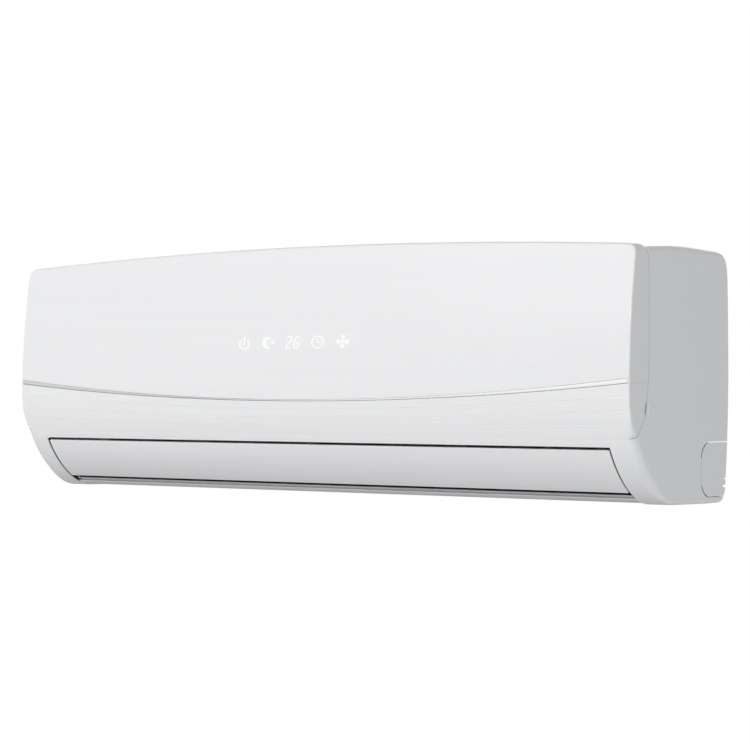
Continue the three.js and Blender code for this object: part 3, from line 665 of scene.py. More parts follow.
class Effect(Enum):
    """Surface effects that several materials share, each one node group."""

    GRAIN = "moulded_grain"
    STREAKS = "long_streaks"
    BRUSHING = "brushed_metal"
    SPANGLE = "zinc_spangle"
    STACK = "fin_stack"
    NET = "net_weave"
    TRACKS = "board_tracks"
    # Painted shade for the accent strip, darker towards the left end.
    FADE = "silver_fade"

    def group(self) -> bpy.types.NodeTree:
        """The effect's node group, built on first use.

        Returns:
            The group's tree.
        """
        known = bpy.data.node_groups.get(self.value)
        if known:
            return known
        tree = bpy.data.node_groups.new(self.value, "ShaderNodeTree")
        made = Group(tree)
        colour, mask, height = getattr(self, f"_{self.name.lower()}")(made)
        made.add("NodeGroupOutput", None, Color=colour, Mask=mask, Height=height)
        return tree

    def _grain(self, made: Group) -> Look:
        """Fine pits all over, and slow cloudy changes of shade.

        Args:
            made: the group that it fills.

        Returns:
            Its colour, mask and height.
        """
        cloud = made.noise((7, 7, 7), 3.0)
        fine = made.add("ShaderNodeTexNoise", None, Vector=made.where, Scale=made.inputs["Size"], Detail=3.0)
        return made.shade(cloud), cloud, fine.outputs["Fac"]

    def _streaks(self, made: Group) -> Look:
        """Thin streaks that run along the unit.

        Args:
            made: the group that it fills.

        Returns:
            Its colour, mask and height.
        """
        fine = made.noise((2.2, 30, 620), 3.0)
        wide = made.noise((1.2, 9, 60))
        share = made.ranged(made.sums("MULTIPLY", fine, wide), 0.1, 0.42, 0.0, 1.0)
        return made.shade(share), wide, fine

    def _brushing(self, made: Group) -> Look:
        """Short scratches one way, with dull patches.

        Args:
            made: the group that it fills.

        Returns:
            Its colour, mask and height.
        """
        lines = made.noise((40, 900, 900))
        patch = made.noise((14, 14, 14), 4.0)
        return made.shade(patch), patch, lines

    def _spangle(self, made: Group) -> Look:
        """The crystal pattern of hot zinc.

        Args:
            made: the group that it fills.

        Returns:
            Its colour, mask and height.
        """
        cells = made.add("ShaderNodeTexVoronoi", None, Vector=made.where, Scale=made.inputs["Size"])
        shade = made.add("ShaderNodeSeparateColor", None, i0=cells.outputs["Color"]).outputs[0]
        return made.shade(shade), shade, cells.outputs["Distance"]

    def _stack(self, made: Group) -> Look:
        """Thin sheets side by side along X, with painted shade in the air between them.

        Args:
            made: the group that it fills.

        Returns:
            Its colour, mask and height.
        """
        sheet = made.ranged(made.ridge(0), 0.16, 0.3, 0.0, 1.0)
        uneven = made.ranged(made.noise((60, 24, 24)), 0.2, 0.8, 0.7, 1.0)
        # Painted shade between the sheets, a little uneven.
        dark = made.sums("MULTIPLY", made.sums("SUBTRACT", 1.0, sheet), uneven)
        return made.shade(dark), sheet, sheet

    def _net(self, made: Group) -> Look:
        """Threads crossing at right angles, with open squares between them.

        Args:
            made: the group that it fills.

        Returns:
            Its colour, mask and height.
        """
        thread = made.sums("MAXIMUM", *(made.ranged(made.ridge(axis), 0.2, 0.32, 0.0, 1.0) for axis in (0, 2)))
        return made.shade(made.noise((9, 9, 9), 3.0)), thread, thread

    def _fade(self, made: Group) -> Look:
        """Painted shade that darkens the strip from the unit's middle towards its left end, over fine brushed lines.

        Args:
            made: the group that it fills.

        Returns:
            Its colour, mask and height.
        """
        # Painted shade: a share that grows from the unit's middle towards its left end.
        share = made.ranged(made.sums("MULTIPLY", made.along(0), made.inputs["Size"]), 0.3, -0.7, 0.0, 1.0)
        lines = made.noise((30, 700, 900))
        darkening = made.sums("MULTIPLY", share, made.ranged(lines, 0.2, 0.8, 0.85, 1.0))
        return made.shade(darkening), share, lines

    def _tracks(self, made: Group) -> Look:
        """Printed tracks and pads under lacquer.

        Args:
            made: the group that it fills.

        Returns:
            Its colour, mask and height.
        """
        settings = {"distance": "MANHATTAN", "feature": "F1"}
        cells = made.add("ShaderNodeTexVoronoi", settings, Vector=made.where, Scale=made.inputs["Size"])
        near = made.ranged(cells.outputs["Distance"], 0.28, 0.34, 1.0, 0.0)
        far = made.ranged(cells.outputs["Distance"], 0.5, 0.54, 0.0, 1.0)
        track = made.sums("MAXIMUM", near, far)
        return made.shade(track), track, track


@dataclass(frozen=True)
class Finish:
    """A surface made of one effect over plain values.

    Attributes:
        name: of the material.
        base: main colour.
        tint: colour the effect mixes in.
        effect: the surface effect.
        amount: how strongly the tint shows.
        size: the effect's frequency, per metre.
        rough: roughness where the mask is 0 and where it is 1.
        metal: metallic or not.
        relief: depth of the effect's bump, in millimetres.
        coat: weight of a clear coat.
        glow: strength of light given off.
        open_net: whether the gaps of the net are see-through.
    """

    name: str
    base: Colour
    tint: Colour
    effect: Effect = Effect.GRAIN
    amount: float = 0.3
    size: float = 1400.0
    rough: tuple[float, float] = (0.4, 0.5)
    metal: float = 0.0
    relief: float = 0.02
    coat: float = 0.0
    glow: float = 0.0
    open_net: bool = False

    def material(self) -> bpy.types.Material:
        """The finish as a material, built on first use.

        Returns:
            The material.
        """
        known = bpy.data.materials.get(self.name)
        if known:
            return known
        made = bpy.data.materials.new(self.name)
        tree = Tree.fresh(made)
        surface = tree.add("ShaderNodeGroup", {"node_tree": self.effect.group()})
        for name, value in (
            ("Base", (*self.base, 1)),
            ("Tint", (*self.tint, 1)),
            ("Amount", self.amount),
            ("Size", self.size),
        ):
            surface.inputs[name].default_value = value
        mask, height = surface.outputs["Mask"], surface.outputs["Height"]
        bump = tree.add("ShaderNodeBump", None, Height=height, Strength=1.0, Distance=self.relief * MM)
        shader = tree.add(
            "ShaderNodeBsdfPrincipled",
            None,
            Base_Color=surface.outputs["Color"],
            Roughness=tree.ranged(mask, 0.0, 1.0, *self.rough),
            Metallic=self.metal,
            Normal=bump.outputs[0],
            Coat_Weight=self.coat,
            Coat_Roughness=0.12,
        )
        if self.glow:
            tree.tree.links.new(surface.outputs["Color"], shader.inputs["Emission Color"])
            shader.inputs["Emission Strength"].default_value = self.glow
        if self.open_net:
            tree.tree.links.new(mask, shader.inputs["Alpha"])
        tree.add("ShaderNodeOutputMaterial", None, Surface=shader.outputs[0])
        return made


PANEL = Finish(
    "panel_gloss", (0.862, 0.862, 0.866), (0.826, 0.826, 0.832), Effect.STREAKS,
    amount=0.5, rough=(0.36, 0.42), relief=0.012, coat=0.18,
)
SHELL = Finish(
    "case_satin", (0.875, 0.876, 0.883), (0.825, 0.827, 0.835), amount=0.25, size=2600, rough=(0.42, 0.5), relief=0.02,
)
FLAP = Finish(
    "flap_satin", (0.885, 0.886, 0.893), (0.835, 0.837, 0.845), Effect.STREAKS, amount=0.4, rough=(0.34, 0.42),
    relief=0.01, coat=0.15,
)
# The case's plastic painted darker, as painted shade on the downward-facing lip under the outlet.
LIP_PAINTED_DARKER = Finish(
    "lip_satin_painted_darker", (0.74, 0.741, 0.748), (0.69, 0.692, 0.70), amount=0.25, size=2600, rough=(0.45, 0.55), relief=0.02,
)
# The accent strip's silver holds painted shade: it darkens from the middle to the left end, standing in for the light
# the strip catches on the right and misses on the left.
ACCENT_PAINTED_DARKER_LEFT = Finish(
    "accent_painted_shade_silver", (0.93, 0.93, 0.93), (0.62, 0.62, 0.63), Effect.FADE, amount=1.0, size=5.0, rough=(0.34, 0.3),
    relief=0.004, coat=0.2,
)
SYMBOL = Finish(
    "symbol_light", (0.96, 0.965, 0.97), (0.9, 0.905, 0.91), amount=0.3, size=900, rough=(0.3, 0.4), glow=0.07,
)
MOULD = Finish(
    "inner_mould", (0.62, 0.63, 0.64), (0.5, 0.51, 0.53), amount=0.5, size=900, rough=(0.5, 0.62), relief=0.04,
)
CHASSIS = Finish(
    "chassis_mould", (0.7, 0.71, 0.71), (0.58, 0.59, 0.6), amount=0.5, size=700, rough=(0.52, 0.66), relief=0.05,
)
VANE = Finish("vane_mould", (0.74, 0.745, 0.75), (0.62, 0.63, 0.65), amount=0.4, size=1500, rough=(0.42, 0.5))
FAN = Finish("fan_mould", (0.035, 0.037, 0.04), (0.09, 0.092, 0.095), amount=0.6, size=900, rough=(0.4, 0.55))
BOX = Finish("box_mould", (0.05, 0.052, 0.056), (0.11, 0.112, 0.116), amount=0.4, size=1100, rough=(0.45, 0.6))
RUBBER = Finish("soft_rubber", (0.02, 0.02, 0.021), (0.06, 0.06, 0.06), amount=0.5, size=500, rough=(0.7, 0.85))
# Near-black fill for gaps and slots: painted shade where only shade would be seen.
GAP_SHADE_BLACK = Finish(
    "gap_shade_black", (0.006, 0.006, 0.007), (0.02, 0.02, 0.02), amount=0.6, size=3000, rough=(0.9, 1.0), relief=0.15,
)
# Mid grey for the strip in the panel's side gaps: painted shade on the parting line.
PARTING_SHADE_GREY = Finish("parting_shade_grey", (0.46, 0.462, 0.466), (0.52, 0.522, 0.526), amount=0.4, size=900, rough=(0.7, 0.8))
FOAM = Finish("coil_foam", (0.05, 0.052, 0.056), (0.1, 0.1, 0.105), size=420, rough=(0.85, 0.95), relief=0.3)
STEEL = Finish(
    "zinc_steel", (0.62, 0.63, 0.65), (0.42, 0.43, 0.45), Effect.BRUSHING, amount=0.6, rough=(0.25, 0.45), metal=1.0,
    relief=0.01,
)
SHEET = Finish(
    "galvanised_sheet", (0.62, 0.64, 0.66), (0.44, 0.46, 0.49), Effect.SPANGLE, amount=0.7, size=130,
    rough=(0.32, 0.5), metal=0.9, relief=0.006,
)
# Fin colour with painted shade: near-black stripes between the fins stand in for the shade in the gaps.
FINS_PAINTED_GAPS = Finish(
    "fin_stack", (0.66, 0.69, 0.72), (0.03, 0.035, 0.04), Effect.STACK, amount=1.0, size=560, rough=(0.5, 0.28),
    metal=0.85, relief=0.5,
)
COPPER = Finish(
    "drawn_copper", (0.72, 0.34, 0.2), (0.36, 0.17, 0.11), Effect.BRUSHING, amount=0.7, rough=(0.22, 0.4), metal=1.0,
    relief=0.006,
)
BRASS = Finish(
    "turned_brass", (0.74, 0.55, 0.24), (0.48, 0.34, 0.15), Effect.BRUSHING, amount=0.5, rough=(0.2, 0.35),
    metal=1.0, relief=0.006,
)
NET = Finish(
    "filter_net", (0.1, 0.13, 0.17), (0.2, 0.23, 0.27), Effect.NET, amount=0.5, size=620, rough=(0.6, 0.7),
    relief=0.1, open_net=True,
)
BOARD = Finish(
    "green_board", (0.02, 0.13, 0.06), (0.09, 0.3, 0.12), Effect.TRACKS, amount=0.7, size=190, rough=(0.3, 0.22),
    relief=0.03, coat=0.4,
)

CAD_FINISHES: dict[Finish, tuple[str, ...]] = {
    BOARD: ("display_board", "control_board", "button_board"),
    MOULD: ("display_light_guide", "flap_bracket", "motor_clamp", "vane_rail", "vane_link_bar", "vane_crank",
            "terminal_block"),
    CHASSIS: ("rear_chassis", "drain_pan"),
    STEEL: ("case_screw_left", "case_screw_centre", "case_screw_right", "flap_motor", "motor_shaft", "fan_motor",
            "vane_motor"),
    SHELL: ("screw_cap_left", "screw_cap_centre", "screw_cap_right", "manual_button"),
    RUBBER: ("drain_plug", "fan_bearing", "room_sensor"),
    FINS_PAINTED_GAPS: ("evaporator_front_lower", "evaporator_front_upper", "evaporator_rear"),
    COPPER: ("coil_end_left", "coil_end_right"),
    BOX: ("control_box", "control_box_cover"),
    SHEET: ("mounting_plate",),
    VANE: tuple(f"vertical_vane_{i:02d}" for i in range(1, 11)),
}


def dressed(piece: Object, finish: Finish) -> Object:
    """Gives an object one material.

    Args:
        piece: the object.
        finish: its surface.

    Returns:
        The object.
    """
    piece.data.materials.clear()
    piece.data.materials.append(finish.material())
    return piece


def fitted(piece: Object, finish: Finish, body: str, slot: str, *nodes: str) -> Object:
    """Dresses a finished piece, hangs it on its body and hides the solids that it stands for.

    Args:
        piece: the piece.
        finish: its surface.
        body: the body it rides.
        slot: the record's material slot; not used.
        nodes: the solids that it stands for.

    Returns:
        The piece.
    """
    dressed(piece, finish)
    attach(piece, body)
    if nodes:
        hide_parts(*nodes)
    LOG.info("%s rides %s, %d faces", piece.name, body, len(piece.data.polygons))
    return piece


# ---------------------------------------------------------------- front panel
@dataclass
class FrontPanel:
    """The hinged panel: upper and lower mouldings with the accent strip between them.

    Attributes:
        arch: rise of the top edge at mid length.
        arch_start: height where the rise begins.
        top: height of the top edge at its ends.
        bottom: height of the lower edge.
        corner: radius of the upper corners.
        top_edge: radius from the front to the top return.
        top_end: depth where the top return ends.
        top_drop: fall of the top return towards the back.
        accent_low: height of the accent line at mid length.
        accent_rise: how much higher it stands at the ends.
        accent_thin: its width at mid length.
        accent_growth: extra width at the ends.
        accent_end: half length of its groove.
        accent_tip: length of its rounded tips.
        strip_room: gap over the strip.
        shadow_line: dark gap under the strip.
        closed_line: that gap past the strip's ends.
        corner_growth: share by which the upper corners are wider behind the front.
        skin: thickness of the mouldings.
    """

    arch: float = 12.8
    arch_start: float = 118.0
    top: float = 274.5
    bottom: float = 70.35
    corner: float = 12.0
    top_edge: float = 3.4
    top_end: float = 35.1
    top_drop: float = 3.0
    accent_low: float = 109.6
    accent_rise: float = 20.2
    accent_thin: float = 1.6
    accent_growth: float = 3.5
    accent_end: float = 448.0
    accent_tip: float = 1.0
    strip_room: float = 0.07
    shadow_line: float = 0.42
    closed_line: float = 0.09
    corner_growth: float = 0.3
    skin: float = 2.3

    COLUMNS: ClassVar[int] = 72
    ROWS: ClassVar[int] = 33
    ROUNDING: ClassVar[int] = 8
    CORNER_STEPS: ClassVar[int] = 7
    RETURN_SHARES: ClassVar[tuple[float, ...]] = (0.25, 0.5, 0.7, 0.84, 0.93, 0.98, 1.0)
    LINE_SHARES: ClassVar[tuple[float, ...]] = (0.23, 0.48, 0.72)
    LINE_DEPTH: ClassVar[float] = 0.3
    LINE_EDGE: ClassVar[float] = 0.005
    LINE_REACH: ClassVar[float] = 0.012
    LOWER_ROWS: ClassVar[int] = 20
    END_SHARE: ClassVar[float] = 0.985

    def lifted(self, x: float, y: float, z: float) -> Place:
        """A point of the straight panel moved up into the arch."""
        up = min(max((z - self.arch_start) / (self.top - self.arch_start), 0.0), 1.0)
        return (x, y, z + self.arch * (1 - (x / HALF) ** 2) * up * up)

    def accent(self, x: float) -> float:
        """Height of the accent line."""
        return self.accent_low + self.accent_rise * (x / HALF) ** 2

    def accent_width(self, x: float) -> float:
        """Width of the accent strip, none beyond its ends.

        Args:
            x: place along the unit.

        Returns:
            The width.
        """
        width = self.accent_thin + self.accent_growth * (x / HALF) ** 2
        ending = max(abs(x) - (self.accent_end - 0.5), 0.0)
        return max(width - ending * 9, 0.0)

    def room_top(self, x: float) -> float:
        """Height where the upper moulding begins, above the strip."""
        return self.accent(x) + self.accent_width(x) + self.strip_room

    def room_bottom(self, x: float) -> float:
        """Height where the lower moulding ends, under the strip's dark line."""
        return self.accent(x) - (self.shadow_line if self.accent_width(x) > 1 else self.closed_line)

    def shares(self) -> list[float]:
        """Places of the columns across the half length, denser at both ends.

        Returns:
            The places, from -1 to 1.
        """
        even = [2 * i / self.COLUMNS - 1 for i in range(1, self.COLUMNS)]
        ends = [x / (HALF - SIDE.SHARP_EDGE) for x in (444.5, self.accent_end - 0.5, self.accent_end, 448.15, 448.3)]
        inner = [s for s in even if abs(s) < self.END_SHARE]
        return [*(-s for s in reversed(ends)), *inner, *ends]

    def rim(self, patch: Patch, path: list[tuple[int, float, float]]) -> None:
        """Grows the rounded edge and the return from a line of front points.

        Args:
            patch: the surface, still without the arch.
            path: for each point its place, and the edge's reach sideways and up.
        """
        row = [place for place, _, _ in path]
        turns = [(k / self.ROUNDING, 0.0) for k in range(1, self.ROUNDING + 1)]
        for turn, back in (*turns, *((1.0, back) for back in self.RETURN_SHARES)):
            row = self.ring(patch, row, path, turn, back)

    def ring(
        self, patch: Patch, previous: list[int], path: list[tuple[int, float, float]], turn: float, back: float
    ) -> list[int]:
        """Adds one ring of the edge.

        Args:
            patch: the surface.
            previous: places of the ring before it.
            path: the front points with the edge's reach, as for rim.
            turn: share of the quarter round that it has gone.
            back: share of the flat return that it has gone.

        Returns:
            Places of its points.
        """
        ring: list[Place] = []
        for place, side, up in path:
            x, y, z = self.squared(patch.points[place], side * up, back if back else 0.15 * turn)
            radius = max(math.hypot(side, up), 0.01)
            reach = 1 - abs(side) / radius if up else 0.0
            end = self.top_end if up and reach > 0.99 else min(SIDE.panel_end(z + up), self.panel_back(z + up))
            end = max(end, y + 0.05)
            full = min(math.acos(max(1 - (end - y) / radius, 0.0)), math.pi / 2)
            angle = full * turn
            depth = y + radius * (1 - math.cos(angle))
            drop = self.top_drop * (0.25 * back + 0.75 * back**6) * (up / radius if up else 0.0)
            ring.append((
                min(max(x + side * math.sin(angle), -HALF), HALF),
                depth + (end - depth) * back,
                z + up * math.sin(angle) - drop,
            ))
        row = patch.row(ring)
        patch.span(previous, row)
        return row

    def squared(self, point: Place, corner: float, share: float) -> Place:
        """Moves a point of an upper corner outwards, for the squarer corner behind the front.

        Args:
            point: on the front.
            corner: not 0 for a point of a corner.
            share: how far it moves, from 0 to 1.

        Returns:
            The moved point.
        """
        x, y, z = point
        if not corner:
            return point
        middle = math.copysign(HALF - self.corner, x)
        across, up = x - middle, z - (self.top - self.corner)
        grown = 1 + self.corner_growth * min(share * 2.5, 1.0) * math.sin(2 * math.atan2(abs(up), abs(across))) ** 2
        return (middle + across * grown, y, self.top - self.corner + up * grown)

    def panel_back(self, height: float) -> float:
        """Depth where the return ends near the top, behind the small notch."""
        back = SIDE.BACK - GAP
        return float(np.interp(height, (262, 266, 267.5, 270.5), (back, 37.6, 37.2, self.top_end)))

    def finish_shell(self, name: str, patch: Patch) -> Object:
        """Bends a gathered surface into the arch and gives it its thickness.

        Args:
            name: of the piece.
            patch: the outer surface.

        Returns:
            The moulding.
        """
        shell = mesh_object(name, [self.lifted(*p) for p in patch.points], patch.faces)

        def weld(work: Mesh) -> None:
            """Joins doubled points."""
            bmesh.ops.remove_doubles(work, verts=work.verts, dist=0.02 * MM)

        edited(shell, weld)
        wall = shell.modifiers.new("wall", "SOLIDIFY")
        wall.thickness = self.skin * MM
        wall.offset = -1
        wall.use_even_offset = True
        return baked(shell)

    def front_row(
        self, patch: Patch, start: Callable[[float], float], end: float, share: float, deep: float = 0.0
    ) -> list[int]:
        """Adds a row of points of the front, between a curved edge and a straight one.

        Args:
            patch: the surface.
            start: height of the curved edge at each X.
            end: height of the straight edge.
            share: how far the row stands from the curved edge, from 0 to 1.
            deep: how deep it lies in the surface, fading out at both ends.

        Returns:
            Places of the points.
        """
        points = []
        for s in self.shares():
            edge = start(s * (HALF - SIDE.SHARP_EDGE))
            z = edge + (end - edge) * share
            fade = 1 - eased(abs(s), self.END_SHARE, 1.0)
            points.append((s * (HALF - SIDE.edge(z)), SIDE.front(z) + deep * fade, z))
        return patch.row(points)

    def upper(self) -> Object:
        """The tall moulding above the accent strip, with its hinge arms.

        Returns:
            The piece.
        """
        patch = Patch()
        rows: list[tuple[list[int], float, float]] = []
        knee = self.top - self.corner
        for j in range(self.ROWS + 1):
            rows.append((self.front_row(patch, self.room_top, knee, j / self.ROWS), SIDE.SHARP_EDGE, 0.0))
        for k in range(1, self.CORNER_STEPS + 1):
            turn = math.pi / 2 * k / self.CORNER_STEPS
            z = knee + (self.corner - self.top_edge) * math.sin(turn)
            half = HALF - self.corner + (self.corner - SIDE.SHARP_EDGE) * math.cos(turn)
            row = patch.row([(s * half, SIDE.front(z), z) for s in self.shares()])
            rows.append((row, SIDE.SHARP_EDGE * math.cos(turn), self.top_edge * math.sin(turn)))
        for (low, _, _), (high, _, _) in zip(rows, rows[1:]):
            patch.span(low, high)
        left = [(row[0], -side, up) for row, side, up in rows]
        right = [(row[-1], side, up) for row, side, up in reversed(rows)]
        top = [(place, 0.0, self.top_edge) for place in rows[-1][0][1:-1]]
        self.rim(patch, [*left, *top, *right])
        shell = self.finish_shell("front_panel_upper_skin", patch)
        arm = [(27, 272), (35, 272), (38.2, 271), (38.2, 269.6), (36, 268.7), (29, 265)]
        arm_width, pin_length, pin_radius = 3, 9, 1.8
        for near, pin in ((420, 420), (-423, -429)):
            merged(shell, along_x("arm", arm, near, near + arm_width))
            merged(shell, turned("pin", [(pin, pin_radius), (pin + pin_length, pin_radius)], PANEL_HINGE, 20))
        return smoothed(shell)

    def lower(self) -> Object:
        """The lower moulding, with its fine lines and finger grips.

        Returns:
            The piece.
        """
        patch = Patch()
        steps = (-self.LINE_REACH, -self.LINE_EDGE, self.LINE_EDGE, self.LINE_REACH)
        marks = {round(line + step, 4) for line in self.LINE_SHARES for step in steps}
        shares = sorted({*np.linspace(0, 1, self.LOWER_ROWS + 1).round(4), *marks})
        least = self.LINE_EDGE - 1e-9
        shares = [s for s in shares if not any(0.0 < abs(s - line) < least for line in self.LINE_SHARES)]
        rows = []
        for share in reversed(shares):
            deep = self.LINE_DEPTH if any(abs(share - line) < 0.008 for line in self.LINE_SHARES) else 0.0
            rows.append(self.front_row(patch, self.room_bottom, self.bottom, share, deep))
        for low, high in zip(rows, rows[1:]):
            patch.span(low, high)
        heights = [patch.points[row[0]][2] for row in rows]
        left = [(row[0], -SIDE.edge(z), 0.0) for row, z in zip(rows, heights)]
        right = [(row[-1], SIDE.edge(z), 0.0) for row, z in reversed(list(zip(rows, heights)))]
        self.rim(patch, left)
        self.rim(patch, right)
        return smoothed(worked(self.finish_shell("front_panel_lower_skin", patch), Work.CUT, *finger_grips()))

    def strip(self) -> Object:
        """The accent strip: a slender rounded band that follows the groove.

        Returns:
            The piece.
        """
        end = self.accent_end - 0.3
        ends = [end - self.accent_tip * (1 - math.sin(math.pi / 2 * i / 6)) for i in range(7)]
        inner = [(end - self.accent_tip) * i / 50 for i in range(-49, 50)]
        places = [*(-x for x in reversed(ends)), *inner, *ends]
        section = [(-1.0, 1.0), (-0.9, 0.25), (-0.55, 0.0), (0.0, -0.1), (0.55, 0.0), (0.9, 0.25), (1.0, 1.0)]
        patch = Patch()
        rows = []
        for across, deep in section:
            row = []
            for x in places:
                half = max(self.accent_width(x) / 2 - 0.05, 0.3)
                past = max(abs(x) - end + self.accent_tip, 0.0) / self.accent_tip
                half_here = half * max(math.sqrt(1 - min(past, 1.0) ** 2), 0.15)
                z = self.accent(x) + half + across * half_here
                row.append(self.lifted(x, SIDE.front(z) - 0.19 + deep, z))
            rows.append(patch.row(row))
        for low, high in zip(rows, rows[1:]):
            patch.span(low, high)
        patch.span(rows[-1], rows[0])
        for column in (0, -1):
            patch.faces.append([row[column] for row in rows])
        return smoothed(edited(mesh_object("accent_strip", patch.points, patch.faces), facing_out), 50)

    def build(self) -> None:
        """Builds and fits the panel's pieces."""
        fitted(self.upper(), PANEL, "front_panel", "panel_plastic", "front_panel_upper")
        fitted(self.lower(), PANEL, "front_panel", "panel_plastic", "front_panel_lower")
        # The strip's finish paints its shade darker towards the left end.
        fitted(self.strip(), ACCENT_PAINTED_DARKER_LEFT, "front_panel", "accent_plastic", "accent_trim")


def finger_grips() -> list[Object]:
    """Two shallow hollows over the parting, low on each side.

    Returns:
        Their tool bodies.
    """
    made = []
    reach, wide, tall = GRIP_HALF
    turns = [math.pi * k / 16 for k in range(1, 16)]
    for side in (-1, 1):
        rings = [(side * (HALF + GRIP_PROUD) + reach * math.cos(t), math.sin(t)) for t in turns]
        grip = turned("grip", rings, (0, 0), 32)

        def shape(work: Mesh) -> None:
            """Stretches the round body into the grip's long hollow.

            Args:
                work: the round body's mesh.
            """
            centre, start = placed([GRIP_CENTRE, (0, 0, 0)])
            for vert in work.verts:
                vert.co.y = (vert.co.y - start.y) * wide + centre.y
                vert.co.z = (vert.co.z - start.z) * tall + centre.z

        made.append(edited(grip, shape))
    return made


# ---------------------------------------------------------------- display
@dataclass
class Display:
    """The lit symbols, thin shapes flush with the panel's front, drawn in a square of 16 units.

    Attributes:
        height: of the symbols' centre line.
        wide: millimetres to a unit along the unit.
        tall: millimetres to a unit upwards.
        stroke: width of the lines, in units.
        proud: how far they stand out of the panel.
    """

    height: float = 175.2
    wide: float = 1.14
    tall: float = 0.87
    stroke: float = 1.95
    proud: float = 0.12

    def line(self, points: Sequence[Point], width: float | None = None) -> list[Point]:
        """A stroke along points."""
        return strip_of(points, width or self.stroke)

    def power(self) -> list[list[Point]]:
        """A ring open at the top with a bar in the gap."""
        return [self.line(arc((0, -1.4), 6.3, 128, 412, 40)), self.line([(0, -2.2), (0, 7.9)], 2.1)]

    def sleep(self) -> list[list[Point]]:
        """A crescent with a small star.

        Returns:
            Closed outlines, in units.
        """
        outer = arc((-0.9, -0.2), 7.6, 62, 298, 36)
        inner = arc((2.3, -0.2), 6.0, 262, 98, 28)
        star = [
            (4.9 + r * math.cos(math.pi * k / 5 + 0.3), 0.6 + r * math.sin(math.pi * k / 5 + 0.3))
            for k, r in ((k, 3.7 if k % 2 == 0 else 1.6) for k in range(10))
        ]
        return [[*outer, *inner], star]

    def degrees(self) -> list[list[Point]]:
        """The figures 2 and 6, leaning a little.

        Returns:
            Closed outlines, in units.
        """
        two = [(-2.9, 5.4), (-2.0, 7.0), (1.8, 7.0), (3.0, 5.6), (3.0, 3.0), (1.8, 1.0), (-1.6, -1.6), (-2.9, -3.8),
               (-3.0, -7.1), (3.2, -7.1)]
        six = [(2.8, 7.0), (-0.6, 7.0), (-2.6, 5.2), (-3.0, 2.0), (-3.0, -5.2), (-1.6, -7.1), (1.4, -7.1), (2.9, -5.4),
               (2.9, -1.8), (1.4, -0.2), (-2.6, -0.2)]

        def lean(points: Sequence[Point], place: float) -> list[Point]:
            """Moves a figure to its place and leans it."""
            return [(x + place + 0.14 * y, y) for x, y in points]

        return [self.line(lean(two, -5.0), 1.8), self.line(lean(six, 5.0), 1.8)]

    def clock(self) -> list[list[Point]]:
        """A ring with two hands."""
        hands = [(-0.4, 4.6), (-0.4, -0.6), (3.8, -0.6)]
        return [self.line(arc((0, -0.2), 7.3, 0, 359.5, 48), 1.7), self.line(hands, 1.6)]

    def fan(self) -> list[list[Point]]:
        """Four slim bent blades round a hub.

        Returns:
            Closed outlines, in units.
        """
        blade = [(0.3, 0.6), (-0.9, 2.6), (-2.6, 5.0), (-2.3, 7.1), (-0.2, 8.1), (2.2, 7.7), (3.0, 6.0), (2.1, 2.9)]
        blades = []
        for quarter in range(4):
            c, s = math.cos(math.pi / 2 * quarter), math.sin(math.pi / 2 * quarter)
            blades.append([(c * x - s * y, s * x + c * y) for x, y in blade])
        return [*blades, circle((0, 0), 1.5, 12)]

    def symbol(self, name: str, centre: float, shapes: list[list[Point]], panel: FrontPanel) -> Object:
        """Lays flat shapes on the panel's front as a thin body.

        Args:
            name: of the piece.
            centre: place of the symbol along X.
            shapes: closed outlines about its centre.
            panel: gives the arch that the symbol follows.

        Returns:
            The piece.
        """
        points: list[Place] = []
        faces: list[list[int]] = []
        for number, shape in enumerate(shapes):
            n = len(shape)
            first = len(points)
            for depth in (-self.proud - 0.01 * number, 0.4):
                for across, up in shape:
                    height = self.height + up * self.tall
                    points.append(panel.lifted(centre + across * self.wide, SIDE.front(height) + depth, height))
            front = list(range(first, first + n))
            faces += [front, [i + n for i in reversed(front)], *band(first, first + n, n)]
        made = mesh_object(name, points, faces)

        def facets(work: Mesh) -> None:
            """Splits the outlines into triangles."""
            bmesh.ops.recalc_face_normals(work, faces=work.faces)
            bmesh.ops.triangulate(work, faces=work.faces, ngon_method="EAR_CLIP")

        return edited(made, facets)

    def build(self, panel: FrontPanel) -> None:
        """Builds and fits the symbols.

        Args:
            panel: the panel that they lie on.
        """
        for name, centre, shapes in (
            ("symbol_power", -77.3, self.power()),
            ("symbol_sleep", -39.6, self.sleep()),
            ("symbol_26", -3.6, self.degrees()),
            ("symbol_clock", 33.3, self.clock()),
            ("symbol_fan", 70.2, self.fan()),
        ):
            piece = self.symbol(name, centre, shapes, panel)
            fitted(piece, SYMBOL, "front_panel", "light_guide")


